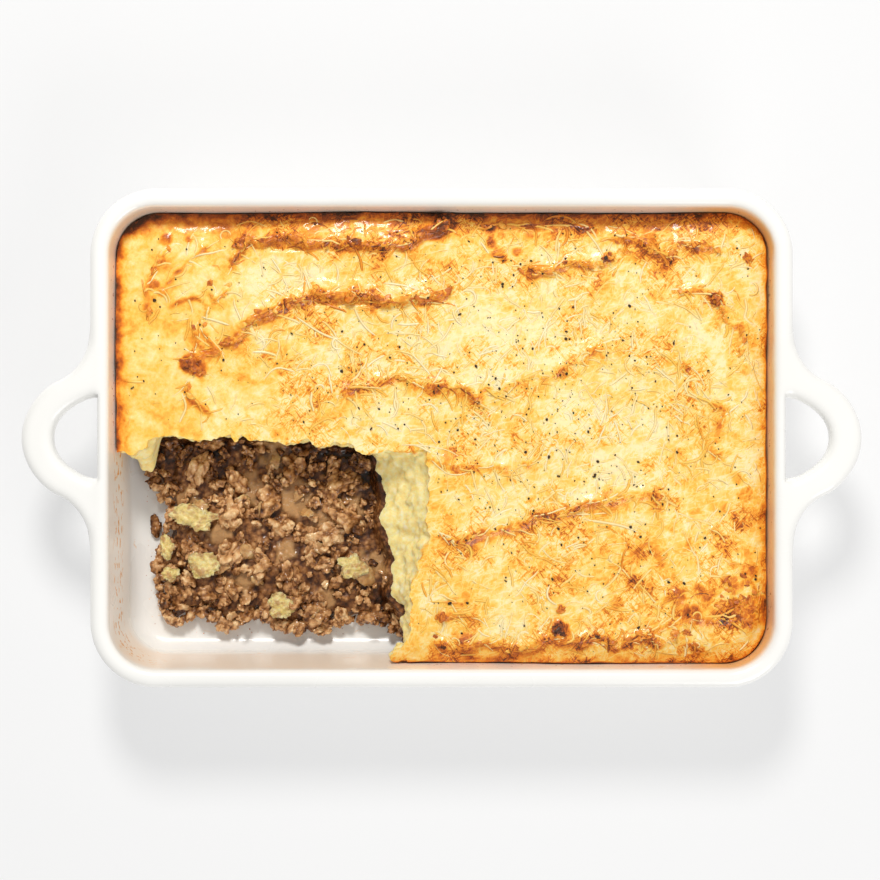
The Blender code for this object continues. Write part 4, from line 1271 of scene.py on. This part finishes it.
def make_pepper():
    """Cracked pepper, thickest right of the middle of the dish."""
    random = np.random.RandomState(5)
    x = random.uniform(-0.155, 0.158, PEPPER_TRIES)
    y = random.uniform(-0.105, 0.105, PEPPER_TRIES)
    middle = np.exp(-(((x - 0.035) / 0.075) ** 2 + ((y - 0.01) / 0.062) ** 2))
    chosen = on_mash(x, y, STREWN_MARGIN) & (random.uniform(size=PEPPER_TRIES) < 0.14 + 0.50 * middle)
    x, y = x[chosen], y[chosen]
    is_coarse = random.uniform(size=len(x)) < COARSE_PEPPER
    coarse = random.uniform(*COARSE_RADIUS, len(x))
    fine = random.uniform(*FINE_RADIUS, len(x))
    sizes = np.where(is_coarse, coarse, fine)
    z = sample(FIELDS[0], x, y) + 0.35 * sizes + 0.00008
    centres = np.column_stack([x, y, z])
    tie(scatter("pepper", centres, sizes, 2, grain_shape, pepper_look(), 6), "crust")


def spun(points, turn):
    """Points turned about the upright."""
    spin = np.array([[math.cos(turn), -math.sin(turn), 0], [math.sin(turn), math.cos(turn), 0], [0, 0, 1]])
    return points @ spin.T


def flake_shape(unit, size, random):
    """A thin, ragged flake; size holds its half length and its heading."""
    points = unit * (1.0, random.uniform(0.30, 0.55), random.uniform(0.09, 0.15))
    noise = Noise(random.randint(1000))
    points = points * (1 + 0.5 * noise(unit + 4.0, 0.7) + 0.3 * noise(unit + 4.0, 0.3))[:, None]
    points[:, 2] += points[:, :2] @ random.normal(0, 0.2, 2) + 0.3 * points[:, 1] ** 2
    return size[0] * spun(points, size[1])


def make_flakes():
    """Browned and burnt flakes of crust along the sharpest folds and on the darkest spots."""
    random = np.random.RandomState(14)
    centres, sizes, tones = [], [], []
    for _, _, browning, path in FOLDS:
        if browning < 0.6:
            continue
        line = metres(path, 0.0046 if browning > 0.8 else 0.008)
        run = np.gradient(line, axis=0)
        for (x, y), (run_x, run_y) in zip(line, run):
            if random.uniform() < 0.7:
                centres.append((x + random.normal(0, 0.0008), y + random.normal(0, 0.0008)))
                sizes.append((random.uniform(0.0016, 0.0034) * (1.1 if browning > 0.8 else 0.8),
                              math.atan2(run_y, run_x) + random.normal(0, 0.45)))
                tones.append(np.clip(0.52 * browning + random.normal(0.08, 0.13), 0.3, 0.9))
    for x, y, radius, strength, _ in SPOTS:
        if strength < 0.7:
            continue
        for _ in range(int(2 + radius * 2.0)):
            turn, out = random.uniform(0, 2 * math.pi), random.uniform(0, 0.8) * radius
            centres.append(((x + out * math.cos(turn)) * MM, (y + out * math.sin(turn)) * MM))
            sizes.append((random.uniform(0.0012, 0.0026), random.uniform(0, 2 * math.pi)))
            tones.append(np.clip(0.62 * strength + random.normal(0.06, 0.08), 0.45, 1.0))
    centres, sizes, tones = np.array(centres), np.array(sizes), np.array(tones)
    kept = on_mash(centres[:, 0], centres[:, 1], CLOSE_MARGIN)
    centres, sizes, tones = centres[kept], sizes[kept], tones[kept]
    z = sample(FIELDS[0], centres[:, 0], centres[:, 1])
    values = {"bake": lambda i, unit, shade: np.clip(tones[i] + 0.12 * unit[:, 2], 0, 1)}
    centres = np.column_stack([centres, z])
    tie(scatter("crust_flakes", centres, sizes, 2, flake_shape, flake_look(), 15, values), "crust")


# ---------------------------------------------------------------- mince

# Pools of gravy on the bare mince, in millimetres: x, y, radius.
FILMS = ((-75, -31, 9), (-84, -9, 7), (-95, -26, 8), (-130, -31, 6), (-35, -64, 8), (-45, -35, 6),
         (-112, -48, 6), (-62, -42, 5), (-100, -72, 6), (-58, -82, 5), (-78, -58, 5))
FOOT_LINE = metres(CUT_FOOT, 0.003)
EDGE_LINE = metres(MINCE_EDGE, 0.003)
SCRAPS = sorted(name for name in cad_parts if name.startswith("mash_scrap_"))


def heap_height(x, y):
    """Height of the bare mince without its clumps."""
    from_edge = np.abs(beside(x, y, EDGE_LINE)[0])
    inside = inside_line(x, y, EDGE_LINE)
    rise = np.sqrt(np.clip(np.where(inside, 0.0, from_edge) / HEAP_EDGE_WIDTH, 0, 1))
    uneven = HEAP_RISE * over(soft, x, y, 0.026)
    return FLOOR_THICKNESS + HEAP_EDGE_HEIGHT + (HEAP_HEIGHT - HEAP_EDGE_HEIGHT) * rise + uneven * rise


def bare(x, y, under):
    """Which places belong to the bare mince, or lie no farther under the cut than the distance given."""
    served = inside_line(x, y, FOOT_LINE) | (np.abs(beside(x, y, FOOT_LINE)[0]) < under)
    return served & ~inside_line(x, y, EDGE_LINE)


def film_share(x, y):
    """Where pale, glossy gravy lies between the clumps."""
    share = np.zeros(np.shape(x))
    for film_x, film_y, radius in FILMS:
        gap = np.hypot(x - film_x * MM, y - film_y * MM) / (radius * MM)
        share = np.maximum(share, 1 - ease(gap + 0.6 * over(soft, x, y, 0.005), 0.6, 1.2))
    return share


def painted_cut_shade(x, y):
    """How much painted shadow the cut casts on a place on the bare mince, most of all along its back."""
    near = 1 - ease(np.abs(beside(x, y, FOOT_LINE)[0]), 0.004, 0.019)
    return near * (0.3 + 0.7 * ease(y, -0.045, -0.015))


def make_core():
    """The mince under the mash, and the heap's core with the grain of fine mince."""
    xs = np.concatenate([[-0.171], np.arange(-0.162, -0.004, CORE_CELL), np.linspace(0.0, 0.171, 20)])
    ys = np.concatenate([[-0.1215], np.arange(-0.112, 0.008, CORE_CELL), np.linspace(0.012, 0.1215, 14)])
    x, y = np.meshgrid(xs, ys, indexing="ij")
    served = inside_line(x, y, FOOT_LINE)
    from_foot = np.abs(beside(x, y, FOOT_LINE)[0])
    spot = flat(x, y)
    kernels = 1 - cells(spot + (0, 0, 0.5), 0.0030, 9).reshape(x.shape)
    lumps = 1 - cells(spot + (0, 0, 0.5), 0.0075, 10).reshape(x.shape)
    filmed = film_share(x, y)
    heap = heap_height(x, y) - CORE_BELOW + 0.0014 * filmed
    heap = heap + (0.0016 * kernels + 0.0022 * lumps) * (1 - 0.5 * filmed)
    share = np.where(served, ease(from_foot, 0.0, 0.005), 0.0)
    height = MINCE_TOP * (1 - share) + np.minimum(heap, MINCE_TOP) * share
    core = slab("mince_core", xs, ys, height, 0.0)
    carve(core, hollow("mince_hollow", CORE_CLEARANCE, 0.0), "INTERSECT")
    edge = resample(metres(MINCE_EDGE), 260)
    ragged = 0.0010 * rough(flat(*edge.T), 0.004)
    rings = []
    for z, back in CORE_SETBACKS:
        rings.append(served_ring(edge + left_of(edge) * (back + ragged)[:, None], z))
    carve(core, loft("mince_cutter", rings), "DIFFERENCE")
    x, y, _ = places(core.data).T
    # painted shade: the core's tone is darker in the gaps between the kernels that raise it
    tone = 0.27 + 0.26 * (1 - cells(flat(x, y, 0.5), 0.0030, 9)) + 0.12 * soft(flat(x, y), 0.012)
    # the tone is lowered by the cut's painted shadow
    dress(core.data, mince_look("mince_gravy", 0.45),
          {"tone": tone - 0.24 * painted_cut_shade(x, y), "film": 0.85 * film_share(x, y)})
    tie(core, "mince", "mince_filling")


def clump_shape(unit, size, random):
    """A nubbly clump of mince."""
    stretch = np.array((1.0, random.uniform(0.55, 0.85), random.uniform(0.5, 0.7)))
    noise = Noise(random.randint(1000))
    body = unit * stretch * (1 + 0.42 * noise(unit + 5.0, 0.8) + 0.20 * noise(unit + 5.0, 0.4))[:, None]
    shift = random.uniform(0, 9, 3)
    nub = min(0.0056, 0.9 * size)
    bent = body * size + shift + 0.0007 * noise(unit + 2.0, 0.5)[:, None]
    grainy = bent @ turn_matrix(random) * (0.6, 1.0, 1.3)
    nubs = cells(grainy, nub, random.randint(1000))
    fine = cells(grainy, 0.36 * nub, random.randint(1000))
    grow = 0.72 * nub * (0.50 - nubs) + 0.13 * nub * (0.50 - fine) + 0.10 * nub * noise(unit + 1.0, 0.16)
    points = body * size + unit * grow[:, None]
    points[:, 2] += points[:, :2] @ random.normal(0, 0.3, 2)
    # the second value is painted shade: darker in the crevices between the nubs
    return spun(points, random.uniform(0, 2 * math.pi)), 0.50 - 0.7 * nubs - 0.3 * fine


def strew(count, radius_low, radius_high, spacing, seed, under, clear, filmed=0.0):
    """Places on the bare mince, no closer than a share of their sizes, and few of them in the gravy."""
    random = np.random.RandomState(seed)
    x = random.uniform(*SERVED_X, MINCE_TRIES)
    y = random.uniform(*SERVED_Y, MINCE_TRIES)
    sizes = random.uniform(radius_low, radius_high, MINCE_TRIES)
    allowed = bare(x, y, under) & (np.abs(beside(x, y, EDGE_LINE)[0]) > clear * sizes)
    allowed &= film_share(x, y) <= np.where(random.uniform(size=MINCE_TRIES) < filmed, 1.0, 0.2)
    found = []
    for here_x, here_y, size in zip(x[allowed], y[allowed], sizes[allowed]):
        if all((here_x - a) ** 2 + (here_y - b) ** 2 > (spacing * (size + c)) ** 2 for a, b, c in found):
            found.append((here_x, here_y, size))
            if len(found) == count:
                break
    return np.array(found)


def edge_places(spacing, radius_low, radius_high, seed):
    """Places just inside the heap's edge."""
    random = np.random.RandomState(seed)
    edge = metres(MINCE_EDGE, spacing)
    sizes = random.uniform(radius_low, radius_high, len(edge))
    away = (sizes * random.uniform(0.55, 1.0, len(edge)))[:, None]
    x, y = (edge + away * left_of(edge)).T
    kept = bare(x, y, 0.002) & (wall_gap(x, y, FLOOR_THICKNESS + 0.004) > 0.004)
    return np.column_stack([x, y, sizes])[kept]


def middle_and_half(name):
    """The middle and the half size of a CAD node's box."""
    low, high = (np.array(corner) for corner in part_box(name))
    return 0.5 * (low + high), 0.5 * (high - low)


def lay_mince(name, places_found, level, sunk, spread, seed, look):
    """One kind of mince laid on the heap, sunk by a share of its size."""
    random = np.random.RandomState(seed)
    x, y, sizes = places_found.T
    z = heap_height(x, y) - sizes * random.uniform(*sunk, len(x))
    z = np.maximum(z, FLOOR_THICKNESS + 0.42 * sizes)
    tones = np.clip(random.normal(0.54, spread, len(x)), 0.28, 0.88)
    # painted shadow of the cut on the mince near it
    tones = tones - 0.22 * painted_cut_shade(x, y)
    centres = np.column_stack([x, y, z])
    # painted shade: the tone is darkened in each clump's crevices, and it is lighter towards each clump's
    # top
    values = {"tone": lambda i, unit, shade: tones[i] + 0.10 * unit[:, 2] + 0.85 * shade}
    tie(scatter(name, centres, sizes, level, clump_shape, look, seed + 1, values), "mince")


def make_mince():
    """Loose mince in three sizes: clumps, lumps and crumbs, some of them round the scraps of mash."""
    look = mince_look("cooked_mince", 0.65)
    clumps = strew(26, 0.0056, 0.0084, 0.78, 30, 0.003, 0.72)
    lay_mince("mince_clumps", clumps, 5, (0.0, 0.30), 0.07, 31, look)
    lumps = strew(88, 0.0028, 0.0044, 0.70, 36, 0.003, 0.8, 0.12)
    lumps = np.concatenate([lumps, edge_places(0.0052, 0.0026, 0.0044, 35)])
    lay_mince("mince_lumps", lumps, 4, (-0.1, 0.5), 0.08, 37, look)
    crumbs = strew(225, 0.0012, 0.0029, 0.62, 41, 0.004, 1.0, 0.5)
    random = np.random.RandomState(45)
    extra = []
    for name in SCRAPS:
        middle, half = middle_and_half(name)
        for turn in random.uniform(0, 2 * math.pi, 8):
            x, y = middle[:2] + 0.85 * half[:2] * (math.cos(turn), math.sin(turn))
            extra.append((x, y, random.uniform(0.0014, 0.0024)))
    lay_mince("mince_crumbs", np.concatenate([crumbs, extra]), 3, (-1.0, 0.4), 0.10, 43, look)


def onion_shape(unit, size, random):
    """A softened piece of onion: a thin slab, curved across."""
    points = unit * (1.0, random.uniform(0.45, 0.8), 0.17)
    noise = Noise(random.randint(1000))
    points[:, 2] += random.uniform(0.1, 0.4) * points[:, 1] ** 2 * 2 - 0.2 * points[:, 0] ** 2
    points[:, :2] *= (1 + 0.5 * noise(unit + 2.0, 0.8) + 0.2 * noise(unit + 2.0, 0.4))[:, None]
    points[:, 2] += 0.08 * noise(points * (1, 1, 0) + 2.0, 0.5)
    points[:, 2] += points[:, :2] @ random.normal(0, 0.4, 2)
    return size * spun(points, random.uniform(0, 2 * math.pi))


# Pieces of onion on the bare mince, in millimetres.
ONIONS = ((-87, -34), (-72, -29), (-69, -37), (-101, -32), (-43, -66), (-37, -70), (-62, -55), (-52, -34),
          (-122, -34), (-98, -58), (-93, -72), (-66, -88), (-112, -66), (-84, -12))


def make_onion():
    """Softened onion between the clumps."""
    random = np.random.RandomState(51)
    spots = np.array(ONIONS) * MM
    z = heap_height(spots[:, 0], spots[:, 1]) + 0.0008
    sizes = random.uniform(0.0030, 0.0060, len(spots))
    centres = np.column_stack([spots, z])
    tie(scatter("onion_pieces", centres, sizes, 3, onion_shape, onion_look(), 52), "mince")


def scrap_shape(unit, size, random):
    """A torn scrap: a flat patch, ragged round its outline and uneven on top."""
    noise = Noise(random.randint(1000))
    round_about = flat(*(unit[:, :2] / (np.linalg.norm(unit[:, :2], axis=1)[:, None] + 0.15)).T)
    points = unit.copy()
    points[:, :2] *= (1 + 0.50 * noise(round_about + 3.0, 1.0) + 0.22 * noise(round_about + 5.0, 0.5)
                      + 0.20 * noise(unit + 7.0, 0.22))[:, None]
    points[:, 2] = 0.32 * unit[:, 2]
    plan = points * (1, 1, 0) + 3.0
    points[:, 2] += 0.50 * noise(plan, 0.8) + 0.32 * noise(plan, 0.28)
    return points * size


def make_scraps():
    """The torn scraps of plain mash left on the mince, and the crumb of crust on the dish's floor."""
    centres, sizes = [], []
    for name in SCRAPS:
        middle, half = middle_and_half(name)
        centres.append(middle - (0.0, 0.0, 0.0020))
        sizes.append(half * (1.16, 1.16, 0.9))
    scraps = scatter("mash_scraps", centres, sizes, 5, scrap_shape, potato_look(), 61)
    tie(scraps, "mash", *SCRAPS)
    middle, half = middle_and_half("crust_crumb")
    crumb = scatter("browned_crumb", [middle], [half], 4, scrap_shape, mince_look("browned_bit", 0.3), 62,
                    {"tone": lambda i, unit, shade: 0.36 + 0.1 * unit[:, 2]})
    tie(crumb, "crust", "crust_crumb")


SPECKS = 60
COARSE_SPECKS = 6


def make_specks():
    """Fine crumbs and splashes on the bare floor of the dish."""
    random = np.random.RandomState(71)
    x = random.uniform(-0.153, -0.022, 1500)
    y = random.uniform(-0.103, -0.020, 1500)
    off = inside_line(x, y, EDGE_LINE) & (np.abs(beside(x, y, EDGE_LINE)[0]) > 0.001)
    off &= wall_gap(x, y, FLOOR_THICKNESS) > 0.006
    x, y = x[off][:SPECKS], y[off][:SPECKS]
    sizes = random.uniform(0.00012, 0.00036, len(x))
    sizes[:COARSE_SPECKS] = random.uniform(0.0004, 0.0007, COARSE_SPECKS)
    centres = np.column_stack([x, y, FLOOR_THICKNESS + 0.3 * sizes])
    tones = random.uniform(0.45, 0.85, len(x))
    values = {"bake": lambda i, unit, shade: np.full(len(unit), tones[i])}
    tie(scatter("floor_specks", centres, sizes, 1, grain_shape, flake_look(), 72, values), "crust")


# ---------------------------------------------------------------- stage

FLOOR_REACH = 15.0
SKY_STRENGTH = 0.48
LAMP_DISTANCE = 1.7
# Lamps: name, direction from the dish, power, diameter, colour.
LAMPS = (
    ("key", (-0.08, 0.66, 0.80), 18.6, 0.42, (1.0, 0.985, 0.96)),
    ("fill", (0.45, -0.75, 0.50), 10.5, 1.0, (1.0, 1.0, 1.0)),
)
CAMERA_ABOVE_RIM = 1.0
CAMERA_LENS = 84.35
CAMERA_PLACE = (-0.00073, -0.00097)


def add_lamp(name, toward, power, size, colour):
    """A round soft lamp at LAMP_DISTANCE, aimed at the dish."""
    data = bpy.data.lights.new(name, "AREA")
    data.energy = power
    data.shape = "DISK"
    data.size = size
    data.color = colour
    lamp = bpy.data.objects.new(name, data)
    lamp.location = LAMP_DISTANCE * np.array(toward) / np.linalg.norm(toward)
    tilt = math.atan2(math.hypot(toward[0], toward[1]), toward[2])
    lamp.rotation_euler = (-tilt, 0.0, math.atan2(-toward[0], toward[1]))
    bpy.context.scene.collection.objects.link(lamp)


def make_floor():
    """The plain pale floor."""
    mesh = bpy.data.meshes.new("pale_floor")
    corners = [(x * FLOOR_REACH, y * FLOOR_REACH, 0) for x, y in ((-1, -1), (1, -1), (1, 1), (-1, 1))]
    mesh.from_pydata(corners, [], [(0, 1, 2, 3)])
    mesh.materials.append(floor_look())
    floor = bpy.data.objects.new("pale_floor", mesh)
    bpy.context.scene.collection.objects.link(floor)


def make_light():
    """A white sky, a key lamp from behind and a fill lamp from the front."""
    world = bpy.data.worlds.new("studio")
    world.use_nodes = True
    sky = world.node_tree.nodes["Background"]
    sky.inputs["Color"].default_value = (1.0, 1.0, 1.0, 1.0)
    sky.inputs["Strength"].default_value = SKY_STRENGTH
    bpy.context.scene.world = world
    for lamp in LAMPS:
        add_lamp(*lamp)
    bpy.context.scene.cycles.diffuse_bounces = 8


def make_camera():
    """A camera that looks straight down on the dish."""
    lens = bpy.data.cameras.new("overhead")
    lens.lens = CAMERA_LENS
    lens.sensor_width = 36.0
    lens.clip_end = 10.0
    camera = bpy.data.objects.new("overhead", lens)
    camera.location = (*CAMERA_PLACE, CAMERA_ABOVE_RIM + DISH_HEIGHT)
    bpy.context.scene.collection.objects.link(camera)
    bpy.context.scene.camera = camera
    bpy.context.scene.view_settings.view_transform = "Standard"


make_floor()
make_light()
make_camera()
make_dish()
make_mash()
make_strands()
make_pepper()
make_flakes()
make_core()
make_mince()
make_onion()
make_scraps()
make_specks()
